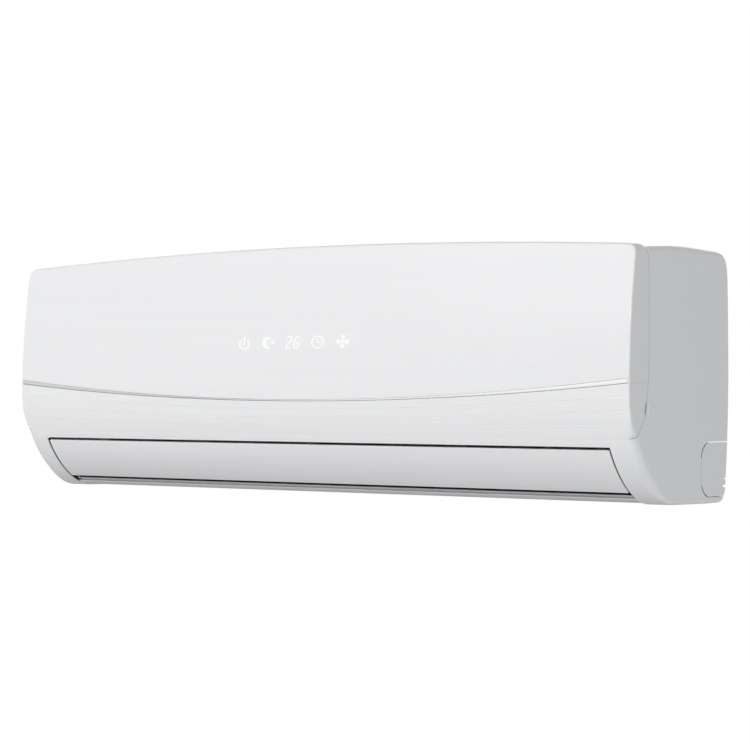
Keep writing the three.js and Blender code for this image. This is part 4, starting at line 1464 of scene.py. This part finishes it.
# ---------------------------------------------------------------- case
@dataclass
class FrontCase:
    """The case: sides, top with its grille, frame behind the panel, chin and rounded end caps.

    Attributes:
        side_edge: fillet from the sides to the back and underside.
        top_edge: fillet from the sides to the top.
        inner_half: half length of the hollow.
        edge: small bevel on its crisp edges.
        plate_low: lower edge of the pipe covers.
        plate_high: their upper edge.
        plate_front: their front edge.
        plate_corner: radius of their corners.
    """

    side_edge: float = 4.0
    top_edge: float = 5.6
    inner_half: float = HALF - WALL
    edge: float = 0.35
    plate_low: float = 5.5
    plate_high: float = 66
    plate_front: float = 146.5
    plate_corner: float = 18

    SLOT_GROUPS: ClassVar[int] = 20
    GROUP_PITCH: ClassVar[float] = 40
    SLOTS: ClassVar[int] = 4
    SLOT_PITCH: ClassVar[float] = 8.6
    SLOT_WIDTH: ClassVar[float] = 6.2
    SLOT_ROWS: ClassVar[tuple[Point, ...]] = ((54, 98), (106, 150))

    def outline(self) -> tuple[list[Point], list[float]]:
        """The side view's outline with the end fillet's radius at each point.

        Returns:
            The outline and the radii.
        """
        chin = bezier(SIDE.LOWER, 48)
        chin_radii = [
            SIDE.edge(z) + (self.side_edge - SIDE.edge(z)) * eased(i / 48, 0.56, 0.97)
            for i, (_, z) in enumerate(chin)
        ]
        low = [
            (104, -0.1), (120, -0.4), (140, -0.8), (160, -1.0), (186, -1.0),
            *bezier(((186, -1.0), (200.5, -1.0), (202, 12), (202.5, 25)), 12)[1:],
            *through(SIDE.REAR, 4)[1:],
        ]
        high = [
            *bezier(((206, 254), (204, 272.5), (187, 273.2)), 10)[1:],
            *reversed(through(SIDE.TOP, 8)[:-1]),
            (20, 271.2),
            (10, 250),
            (0, 180),
        ]
        high_radii = [self.side_edge + (self.top_edge - self.side_edge) * min(i / 8, 1) for i in range(len(high))]
        return [*chin, *low, *high], [*chin_radii, *[self.side_edge] * len(low), *high_radii]

    def body(self, name: str, depth: float) -> Object:
        """The closed outer form, drawn in by a depth.

        Args:
            name: of the body.
            depth: how far it lies under the surface.

        Returns:
            The body.
        """
        outline, radii = self.outline()
        inwards = 1 if anticlockwise(outline) else -1
        drawn = shifted(outline, inwards * depth, True)
        half = HALF - depth
        return along_x(name, drawn, -half, half, [max(r - depth, 0.6) for r in radii])

    def zone(self, name: str) -> Object:
        """All space behind the parting line."""
        edge = shifted([*SIDE.parting(), (38, 266), (38, 330)], -GAP)
        return along_x(name, [*edge, (400, 330), (400, -400), (-30, -400)], -HALF - 10, HALF + 10)

    def shell(self) -> Object:
        """The hollow case without its openings.

        Returns:
            The piece.
        """
        shell = self.body("front_case_shell", 0.0)
        worked(shell, Work.KEEP, self.zone("zone"))
        back = self.inner_half
        return worked(shell, Work.CUT, self.body("hollow", WALL), blocks("back", [(-back, back, 190, 230, 9, 262)]))

    def plate_outline(self, margin: float) -> list[Point]:
        """The break-out plate in the side view, drawn in by a margin.

        Args:
            margin: how far it is drawn in.

        Returns:
            The outline.
        """
        low, high, front = self.plate_low + margin, self.plate_high - margin, self.plate_front + margin
        corner = self.plate_corner
        return [
            (230, low),
            *arc((front + corner, low + corner), corner, 270, 180, 12),
            *arc((front + corner, high - corner), corner, 180, 90, 12),
            (230, high),
        ]

    def grille(self) -> Object:
        """Tool body of all the slots in the top.

        Returns:
            The tool body.
        """
        slots = []
        first = -self.GROUP_PITCH * self.SLOT_GROUPS / 2
        for group in range(self.SLOT_GROUPS):
            for part in range(self.SLOTS):
                x = first + self.GROUP_PITCH * group + self.SLOT_PITCH * part
                slots += [(x, x + self.SLOT_WIDTH, near, far, 262, 282) for near, far in self.SLOT_ROWS]
        return blocks("slots", slots)

    def frame(self) -> Object:
        """The frame behind the panel with its two filter mouths, kept inside the case's form.

        Returns:
            The piece.
        """
        line = [*[p for p in SIDE.parting() if p[0] > 8], (SIDE.BACK, 269.5)]
        outline = [*shifted(line, -GAP), *reversed(shifted(line, -GAP - WALL))]
        sheet = along_x("intake_frame_sheet", outline, -HALF + 4, HALF - 4)
        mouths = [(-425, -6, 30, 60, 112, 256), (6, 405, 30, 60, 112, 256)]
        hooks = [(x, x + 5, 30, 60, 261.5, 280) for x in (-429, 424)]
        worked(sheet, Work.CUT, blocks("mouths", [*mouths, *hooks]), self.button_hole())
        worked(sheet, Work.CUT, blocks("seam", [(-HALF, HALF, 0, 60, 60, 78 + GAP)]))
        return smoothed(sheet, edge=0.3)

    def chin(self) -> Object:
        """The strip over the outlet with its flange.

        Returns:
            Its body.
        """
        outline = [(-5, 62.2), (16.3, 62.2), (17.6, 62.8), (18.4, 65.2), (23, 65.2), (23, 63.8), (37, 63.8), (37, 66.2),
                   (25.5, 66.2), (22, 70), (24, 78), (-5, 78)]
        chin = along_x("chin", outline, -OUTLET_HALF - 1, OUTLET_HALF + 1)
        worked(chin, Work.KEEP, self.zone("zone"))
        return worked(chin, Work.KEEP, self.body("form", 0.0))

    def end_walls(self) -> list[Object]:
        """Walls that close the rounded caps beside the outlet.

        Returns:
            Their bodies.
        """
        outline = [(-10, 78), (-10, -10), (176, -10), (176, 66), (74, 66), (62, 72), (34, 78)]
        walls = []
        for near in (OUTLET_HALF, -OUTLET_HALF - WALL):
            wall = along_x("wall", outline, near, near + WALL)
            worked(wall, Work.KEEP, self.zone("zone"))
            walls.append(worked(wall, Work.KEEP, self.body("form", 0.02)))
        return walls

    def build(self) -> None:
        """Builds and fits the case and its pipe covers."""
        shell = self.shell()
        for side, name in ((1, "right"), (-1, "left")):
            cover = copied(shell, f"pipe_cover_{name}_plate")
            low, high = sorted((side * (HALF - 6), side * (HALF + 6)))
            worked(cover, Work.KEEP, along_x("plate", self.plate_outline(0.9), low, high))
            worked(cover, Work.CUT, self.notches())
            smoothed(cover, edge=0.3)
            fitted(cover, SHELL, "unit", "case_plastic", f"pipe_cover_{name}")
        outlet = blocks("outlet", [(-OUTLET_HALF, OUTLET_HALF, -20, 178.6, -20, 69)])
        worked(shell, Work.CUT, outlet, self.grille())
        worked(shell, Work.JOIN, self.chin(), *self.end_walls())
        for near in (424.5, -428.5):
            hook = [(36.8, 264), (46, 262), (46, 271.8), (38, 271.8)]
            worked(shell, Work.JOIN, along_x("hook", hook, near, near + 4))
        for near in (419, -430):
            worked(shell, Work.CUT, turned("room", [(near, 2.4), (near + 11, 2.4)], PANEL_HINGE, 24))
        pins = turned("pins", [(-OUTLET_HALF - 3, 3.7), (OUTLET_HALF + 3, 3.7)], FLAP_HINGE, 32)
        plates = [along_x("plate", self.plate_outline(0.0), x, x + 12) for x in (HALF - 6, -HALF - 6)]
        worked(shell, Work.CUT, pins, *plates, *finger_grips(), self.screw_holes())
        smoothed(shell, edge=self.edge)
        fitted(shell, SHELL, "unit", "case_plastic", "front_case")
        fitted(self.frame(), SHELL, "unit", "case_plastic", "intake_frame")
        # A grey strip paints the shade in the panel's side gaps.
        fitted(self.parting_shade_strip(), PARTING_SHADE_GREY, "unit", "dark_rubber")
        # Near-black fills paint the shade inside the pipe covers' slots.
        for side in (1, -1):
            fitted(self.slot_shade_fill(side), GAP_SHADE_BLACK, "unit", "dark_rubber")

    def notches(self) -> Object:
        """Tool body of the small notches in the rear edge of each pipe cover.

        Returns:
            The tool body.
        """
        parts = [
            along_x("notch", [(deep, z), (212, z + half), (212, z - half)], -460, 460)
            for deep, z, half in ((195.0, 25.2, 4.2), (192.0, 17, 5.8), (195.0, 9.4, 3.8))
        ]
        return merged(parts[0], *parts[1:])

    def parting_shade_strip(self) -> Object:
        """A thin grey strip in the side gaps between panel and case, just under the surface: painted shade along the
        parting line.

        Returns:
            The piece.
        """
        line = SIDE.parting()[1:]
        band = [*shifted(line, GAP - 0.1), *reversed(shifted(line, -GAP))]
        parting_shade_strips = []
        for low, high in ((444, HALF + 5), (-HALF - 5, -444)):
            parting_shade_strip = along_x("panel_gap_painted_shade", band, low, high)
            worked(parting_shade_strip, Work.KEEP, self.body("form", 0.12))
            parting_shade_strips.append(worked(parting_shade_strip, Work.CUT, self.body("core", 1.0)))
        return smoothed(merged(parting_shade_strips[0], parting_shade_strips[1]))

    def slot_shade_fill(self, side: int) -> Object:
        """Near-black fillings of the two curved slots at a pipe cover's front corners: painted shade inside the slots.

        Args:
            side: 1 for the right cover, -1 for the left one.

        Returns:
            The piece.
        """
        outer, inner = self.plate_outline(-0.5), self.plate_outline(1.6)
        parts = []
        for low, high in ((3, 12), (14, 23)):
            band = [*outer[low:high], *reversed(inner[low + 1 : high - 1])]
            near, far = sorted((side * (HALF - 1.4), side * (HALF - 0.04)))
            parts.append(along_x(f"pipe_cover_slot_shade_{'right' if side > 0 else 'left'}", band, near, far))
        return smoothed(merged(parts[0], parts[1]))

    def screw_holes(self) -> Object:
        """Tool body of the three screw holes in the chin's flange."""
        rods = [upright("hole", 2.3, (x, 31), 60, 72, 16) for x in (-330, 0, 330)]
        return merged(rods[0], *rods[1:])

    def button_hole(self) -> Object:
        """Tool body of the round hole in front of the manual button."""
        return lying("button_hole", 4.6, (430, 140), 30, 50, 32)


def upright(name: str, radius: float, centre: Point, low: float, high: float, sides: int) -> Object:
    """A round body that stands along Z."""
    ring = circle(centre, radius, sides)
    return skinned(name, [[(x, y, z) for x, y in ring] for z in (low, high)])


def lying(name: str, radius: float, centre: Point, near: float, far: float, sides: int) -> Object:
    """A round body that lies along Y, with its centre given as X and Z."""
    ring = circle(centre, radius, sides)
    return skinned(name, [[(x, y, z) for x, z in ring] for y in (near, far)])


# ---------------------------------------------------------------- outlet
@dataclass
class Outlet:
    """The flap, the cover under it, and the near-black strip above it, with more strips and pads below and at its ends:
    painted shade in the gaps round the flap.

    Attributes:
        top: where the flap begins on the lower front curve.
        end: where it ends.
        skin: its thickness.
        clearance: gap at each of its ends.
    """

    top: float = 0.345
    end: float = 0.706
    skin: float = 3.2
    clearance: float = 2.0

    def flap(self) -> Object:
        """The curved door with its ears and pins.

        Returns:
            The piece.
        """
        outer = bezier(SIDE.LOWER, 40, self.top, self.end)
        inner = shifted(bezier(SIDE.LOWER, 36, self.top + 0.02, self.end - 0.012), self.skin)
        y, z = outer[0]
        rim = [(y + 1.6, z + 1.4), (y + 0.6, z + 0.9)]
        half = OUTLET_HALF - self.clearance
        radii = [*[1.5] * (len(rim) + len(outer)), *[0.3] * len(inner)]
        flap = along_x("louver_flap_skin", [*rim, *outer, *reversed(inner)], -half, half, radii, 4)
        ear = [(33, 38), (62, 34), (67, 28), (62, 22), (46, 22)]
        ears = [along_x("ear", ear, x, x + 3) for x in (half - 4, -21.5, -half + 1)]
        pins = [
            turned("pin", [(a, 3.0), (b, 3.0)], FLAP_HINGE, 24)
            for a, b in ((half - 3, OUTLET_HALF + 8), (-OUTLET_HALF - 2.3, -half + 3), (-29, -20))
        ]
        return smoothed(worked(flap, Work.JOIN, *ears, *pins), 30, edge=0.35)

    def bottom(self) -> Object:
        """The cover under the outlet, whose lip is stepped: ledge, groove and strip.

        Returns:
            The piece.
        """
        face = [(68.0, 10.7), (66.8, 10.3), (66.6, 9.6), (67.0, 9.2), (73.0, 8.9), (73.2, 7.5), (68.9, 6.7),
                (69.2, 5.9), (72.2, 4.2), (76.6, 2.9), (82, 1.9), (92, 1.1), (105, 0.4), (130, -0.3), (176, -1.2)]
        inner = [(176, 0.9), (120, 1.7), (94, 3.2), (84, 4.7), (77, 7.4), (75.0, 9.8), (70, 10.8)]
        half = OUTLET_HALF - 1.2
        return smoothed(along_x("bottom_cover_lip", [*face, *inner], -half, half), 24, edge=0.2)

    def gap_shade_strip(self, name: str, outline: Sequence[Point]) -> Object:
        """A near-black strip along one edge of the outlet: painted shade in the gap there."""
        return smoothed(along_x(name, outline, -OUTLET_HALF + 0.2, OUTLET_HALF - 0.2))

    def end_seals(self, name: str, reach: float, start: float, end: float) -> Object:
        """Thin near-black pads at both ends of the flap, on the flap or on the case: painted shade in the end gaps.

        Args:
            name: of the piece.
            reach: how far each stands from the outlet's middle.
            start: where they begin on the lower front curve.
            end: where they end.

        Returns:
            The piece.
        """
        outer = bezier(SIDE.LOWER, 30, start, end)
        line = [*shifted(outer, 0.75), *reversed(shifted(outer, self.skin + 1.5))]
        pads = [along_x(name, line, x, x + 0.4) for x in (reach, -reach - 0.4)]
        return smoothed(merged(pads[0], pads[1]))

    def build(self) -> None:
        """Builds and fits the outlet's pieces."""
        fitted(self.flap(), FLAP, "flap", "flap_plastic", "louver_flap")
        # The lip gets the darker copy of the case's plastic: painted shade.
        fitted(self.bottom(), LIP_PAINTED_DARKER, "unit", "case_plastic", "bottom_cover")
        # Near-black strips and pads: painted shade in the gaps above, below and beside the flap.
        upper = [(19.0, 65.1), (19.2, 61.4), (21.2, 60.8), (22.9, 62.0), (22.9, 65.1)]
        lower = [(71.5, 10.9), (72.0, 12.2), (73.6, 13.0), (75.4, 12.2), (74.6, 10.3)]
        fitted(self.gap_shade_strip("outlet_upper_gap_shade", upper), GAP_SHADE_BLACK, "unit", "dark_rubber")
        fitted(self.gap_shade_strip("outlet_lower_gap_shade", lower), GAP_SHADE_BLACK, "unit", "dark_rubber")
        half = OUTLET_HALF - self.clearance + 0.02
        fitted(self.end_seals("flap_end_gap_shade", half, self.top + 0.012, self.end - 0.01), GAP_SHADE_BLACK, "flap", "dark_rubber")
        half = OUTLET_HALF - 0.45
        fitted(self.end_seals("outlet_end_gap_shade", half, self.top - 0.01, self.end + 0.13), GAP_SHADE_BLACK, "unit", "dark_rubber")


# ---------------------------------------------------------------- inside
@dataclass
class AirPath:
    """The filters, pipes and fan wheel.

    Attributes:
        fan_centre: Y and Z of the fan's axis.
        fan_radius: of the wheel.
        blades: number of blades.
        fan_left: X of the wheel's left end.
        fan_right: X of its right end.
        ring_inside: inner radius of the rings between its sections.
    """

    fan_centre: Point = (120, 122)
    fan_radius: float = 47.6
    blades: int = 34
    fan_left: float = -396.0
    fan_right: float = 346.0
    ring_inside: float = 34.5

    FILTER_LINE: ClassVar[tuple[Point, ...]] = ((44.9, 100), (44.9, 158), (47.3, 172), (90, 248), (99, 258), (112, 264))

    def filter_frame(self, name: str, start: float, end: float) -> Object:
        """The filter's moulded frame: a bent sheet of bars with open fields.

        Args:
            name: of the piece.
            start: its lower X.
            end: its upper X.

        Returns:
            The piece.
        """
        sheet = along_x(name, strip_of(self.FILTER_LINE, 1.5), start, end)
        fields = []
        count = 5
        pitch = (end - start - 8) / count
        rows = ((104, 140), (144, 176), (180, 212), (216, 246))
        for column in range(count):
            x = start + 6 + column * pitch
            fields += [(x, x + pitch - 4, 30, 130, low, high) for low, high in rows]
        return smoothed(worked(sheet, Work.CUT, blocks("fields", fields)), 20)

    def net(self, name: str, start: float, end: float) -> Object:
        """The fine net in the middle of the frame."""
        line = [(44.9, 102), *self.FILTER_LINE[1:4], (92, 250)]
        return smoothed(along_x(name, strip_of(line, 0.3), start + 4, end - 4), 20)

    def wheel(self) -> Object:
        """The crossflow wheel with all its blades, rings and hub.

        Returns:
            The piece.
        """
        left, right, inside = self.fan_left, self.fan_right, self.ring_inside
        wheel = turned("crossflow_wheel", [(left, self.fan_radius), (left + 3, self.fan_radius)], self.fan_centre, 64)
        merged(wheel, turned("disc", [(right - 3, self.fan_radius), (right, self.fan_radius)], self.fan_centre, 64))
        for x in (-272, -149, -26, 97, 220):
            ring = [(x, inside), (x, self.fan_radius), (x + 2, self.fan_radius), (x + 2, inside)]
            merged(wheel, turned("ring", ring, self.fan_centre, 64, closed=True))
        merged(wheel, turned("stub", [(left - 14, 4), (left, 4)], self.fan_centre, 24))
        merged(wheel, turned("hub", [(right - 16, 10), (right - 3, 10)], self.fan_centre, 32))
        curve = bezier(((self.fan_radius - 0.3, 5), (41, 4.5), (36, -1)), 5)
        for i in range(self.blades):
            turn = 2 * math.pi * i / self.blades
            c, s = math.cos(turn), math.sin(turn)
            y0, z0 = self.fan_centre
            outline = [(y0 + c * y - s * z, z0 + s * y + c * z) for y, z in strip_of(curve, 1.0)]
            merged(wheel, along_x("blade", outline, left + 2, right - 2))
        return smoothed(wheel)

    def pipe(self, name: str, radius: float, end: float, line: Point, start: Point, drop: float,
             corner: float) -> Object:
        """A refrigerant pipe from the coil's end, down behind the motor and along the back.

        Args:
            name: of the piece.
            radius: of the pipe.
            end: X of its far end.
            line: Y and Z of its long run.
            start: Y and Z where it leaves the coil.
            drop: X where it goes down.
            corner: how far from each corner its bend begins.

        Returns:
            The pipe.
        """
        (start_y, start_z), (y, z) = start, line
        route = [(342.8, start_y, start_z), (drop, start_y, start_z), (drop, y, start_z - 1.2 * corner),
                 (drop, y, z), (end, y, z)]
        return smoothed(tube(name, route, radius, corner), 40)

    def nut(self, name: str, end: float, line: Point, across: float) -> Object:
        """A flare nut: a hexagon with turned-down corners and a round nose.

        Args:
            name: of the piece.
            end: X of its pipe's end.
            line: Y and Z of its axis.
            across: width across its flats.

        Returns:
            The piece.
        """
        start = end - 0.4
        radius = across / math.sqrt(3)
        hexagon = along_x(name, circle(line, radius, 6), start - 20, start)
        rounding = [(start - 20, radius * 0.8), (start - 17.5, radius + 0.2), (start - 2.5, radius + 0.2),
                    (start, radius * 0.84)]
        worked(hexagon, Work.KEEP, turned("turning", rounding, line, 48))
        merged(hexagon, turned("nose", [(start - 26, across * 0.39), (start - 25, across * 0.42),
                                        (start - 19, across * 0.42)], line, 40))
        return smoothed(hexagon, 28)

    def coil_seal(self) -> Object:
        """The foam strip over the gap between the coil's blocks."""
        outline = [(98, 246), (112.3, 237.6), (113.2, 242.4), (127, 251.6), (112, 256)]
        return smoothed(along_x("coil_foam_seal", outline, -400, 340))

    def build(self) -> None:
        """Builds and fits the filters, pipes, fan wheel and the coil's foam sealing strip."""
        for side, start, end in (("left", -424, -1.5), ("right", 1.5, 402)):
            fitted(self.filter_frame(f"filter_frame_{side}", start, end), MOULD, "unit", "filter_mesh",
                   f"air_filter_{side}")
            fitted(self.net(f"filter_net_{side}", start, end), NET, "unit", "filter_mesh")
        fitted(self.wheel(), FAN, "fan_wheel", "fan_plastic", "crossflow_fan")
        fitted(self.coil_seal(), FOAM, "unit", "dark_rubber")
        suction = self.pipe("suction_line", 6.35, -130, (191, 44), (167, 179.5), 386, 18)
        fitted(suction, COPPER, "unit", "copper_tube", "suction_pipe")
        liquid = self.pipe("liquid_line", 3.2, -60, (192, 20), (156, 193), 403, 12)
        fitted(liquid, COPPER, "unit", "copper_tube", "liquid_pipe")
        fitted(self.nut("suction_nut", -130, (191, 44), 24), BRASS, "unit", "brass_nut", "suction_flare_nut")
        fitted(self.nut("liquid_nut", -60, (192, 20), 17), BRASS, "unit", "brass_nut", "liquid_flare_nut")


# ---------------------------------------------------------------- studio
@dataclass
class Studio:
    """Camera, soft light, and a pale floor far below the unit.

    Attributes:
        place: of the camera, in design millimetres.
        turn: the camera's turn about the upright axis, in radians.
        tilt: its tilt upwards, in radians.
        lens: focal length on the 36 mm sensor.
        floor: height of the floor, in metres.
        floor_half: half length of its sides, in millimetres.
        side_glow: strength of the light from all round.
        top_glow: its strength straight above.
        low_glow: what comes to it from the lower right.
        fade_up: upward part of the direction where the lower light has faded.
        fade_across: sideways part of the direction where it is full.
        tone: colour of the light.
    """

    place: Place = (1713.95, -2045.66, 124.50)
    turn: float = 0.66252
    tilt: float = 0.005544
    lens: float = 111.47
    floor: float = -3.4
    floor_half: float = 6200
    side_glow: float = 0.4
    top_glow: float = 0.28
    low_glow: float = 0.56
    fade_up: float = 0.33
    fade_across: float = 0.3
    tone: tuple[float, float, float, float] = (0.97, 0.985, 1, 1)

    LAMPS: ClassVar[tuple[tuple[str, Place, float, float], ...]] = (
        ("left", (-2.6, -2.2, 0.3), 1.8, 4.3),
        ("low_left", (-2.25, -1.9, -1.7), 1.8, 7.7),
        ("high", (-0.5, -2.75, 1.95), 3.0, 58.0),
        ("low_right", (1.5, -2.55, -1.7), 1.8, 24.6),
        ("rear_left", (-2.4, 1.1, 0.5), 1.8, 16.0),
        ("rear", (-0.5, 2.9, 0.8), 1.8, 18.0),
    )

    def camera(self) -> None:
        """Sets the camera at the viewing place."""
        data = bpy.data.cameras.new("camera")
        data.lens = self.lens
        data.sensor_width = 36
        data.clip_end = 60
        camera = linked("camera", data)
        camera.location = placed([self.place])[0]
        camera.rotation_euler = (math.pi / 2 + self.tilt, 0, self.turn)
        bpy.context.scene.camera = camera

    def world(self) -> None:
        """Soft light from all round, strongest from the right and below, behind a white background."""
        world = bpy.data.worlds.new("studio")
        bpy.context.scene.world = world
        tree = Tree.fresh(world)
        paths = tree.add("ShaderNodeLightPath").outputs
        seen = tree.sums("MAXIMUM", paths["Is Camera Ray"], paths["Is Transmission Ray"])
        direction = tree.add("ShaderNodeTexCoord").outputs["Generated"]
        across, _, up = tree.add("ShaderNodeSeparateXYZ", None, i0=direction).outputs
        plain = tree.ranged(up, self.fade_up, 1.0, self.side_glow, self.top_glow)
        low = tree.ranged(up, -self.fade_up, self.fade_up, self.low_glow, 0.0)
        right = tree.ranged(across, -self.fade_across, self.fade_across, 0.0, 1.0)
        level = tree.sums("ADD", plain, tree.sums("MULTIPLY", low, right))
        soft = tree.add("ShaderNodeBackground", None, Color=self.tone, Strength=level)
        tree.add("ShaderNodeOutputWorld", None, Surface=tree.shown_white(seen, soft, "ShaderNodeBackground"))

    def lamp(self, name: str, place: Place, size: float, power: float) -> None:
        """Adds a soft square lamp that faces the unit.

        Args:
            name: its name.
            place: where it stands, in metres.
            size: length of its sides, in metres.
            power: in watts.
        """
        data = bpy.data.lights.new(name, "AREA")
        data.shape = "RECTANGLE"
        data.size = data.size_y = size
        data.energy = power
        lamp = linked(name, data)
        lamp.location = place
        lamp.rotation_euler = (Vector(place) - Vector((0, -0.1, 0))).to_track_quat("Z", "Y").to_euler()
        lamp.visible_camera = False

    def ground(self) -> None:
        """The floor: pale, and white where the camera sees it."""
        half, height = self.floor_half, self.floor / MM + HALF_HEIGHT
        corners = [(x * half, y * half, height) for x, y in ((-1, -1), (1, -1), (1, 1), (-1, 1))]
        floor = mesh_object("floor", corners, [(0, 1, 2, 3)])
        material = bpy.data.materials.new("floor_white")
        tree = Tree.fresh(material)
        matt = tree.add("ShaderNodeBsdfDiffuse", None, Color=(0.5, 0.5, 0.5, 1))
        seen = tree.add("ShaderNodeLightPath").outputs["Is Camera Ray"]
        tree.add("ShaderNodeOutputMaterial", None, Surface=tree.shown_white(seen, matt, "ShaderNodeEmission"))
        floor.data.materials.append(material)

    def build(self) -> None:
        """Builds the studio."""
        self.camera()
        self.world()
        for name, place, size, power in self.LAMPS:
            self.lamp(name, place, size, power)
        self.ground()
        bpy.context.scene.view_settings.view_transform = "Standard"


def dress_solids() -> None:
    """Gives the solids that stay in view their finishes."""
    for finish, names in CAD_FINISHES.items():
        for name in names:
            dressed(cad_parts[name], finish)


def main() -> None:
    """Builds the studio, then the unit's pieces from the outside in."""
    logging.basicConfig(level=logging.INFO, format="%(name)s: %(message)s")
    Studio().build()
    panel = FrontPanel()
    panel.build()
    Display().build(panel)
    FrontCase().build()
    Outlet().build()
    AirPath().build()
    dress_solids()


if __name__ == "__main__":
    main()
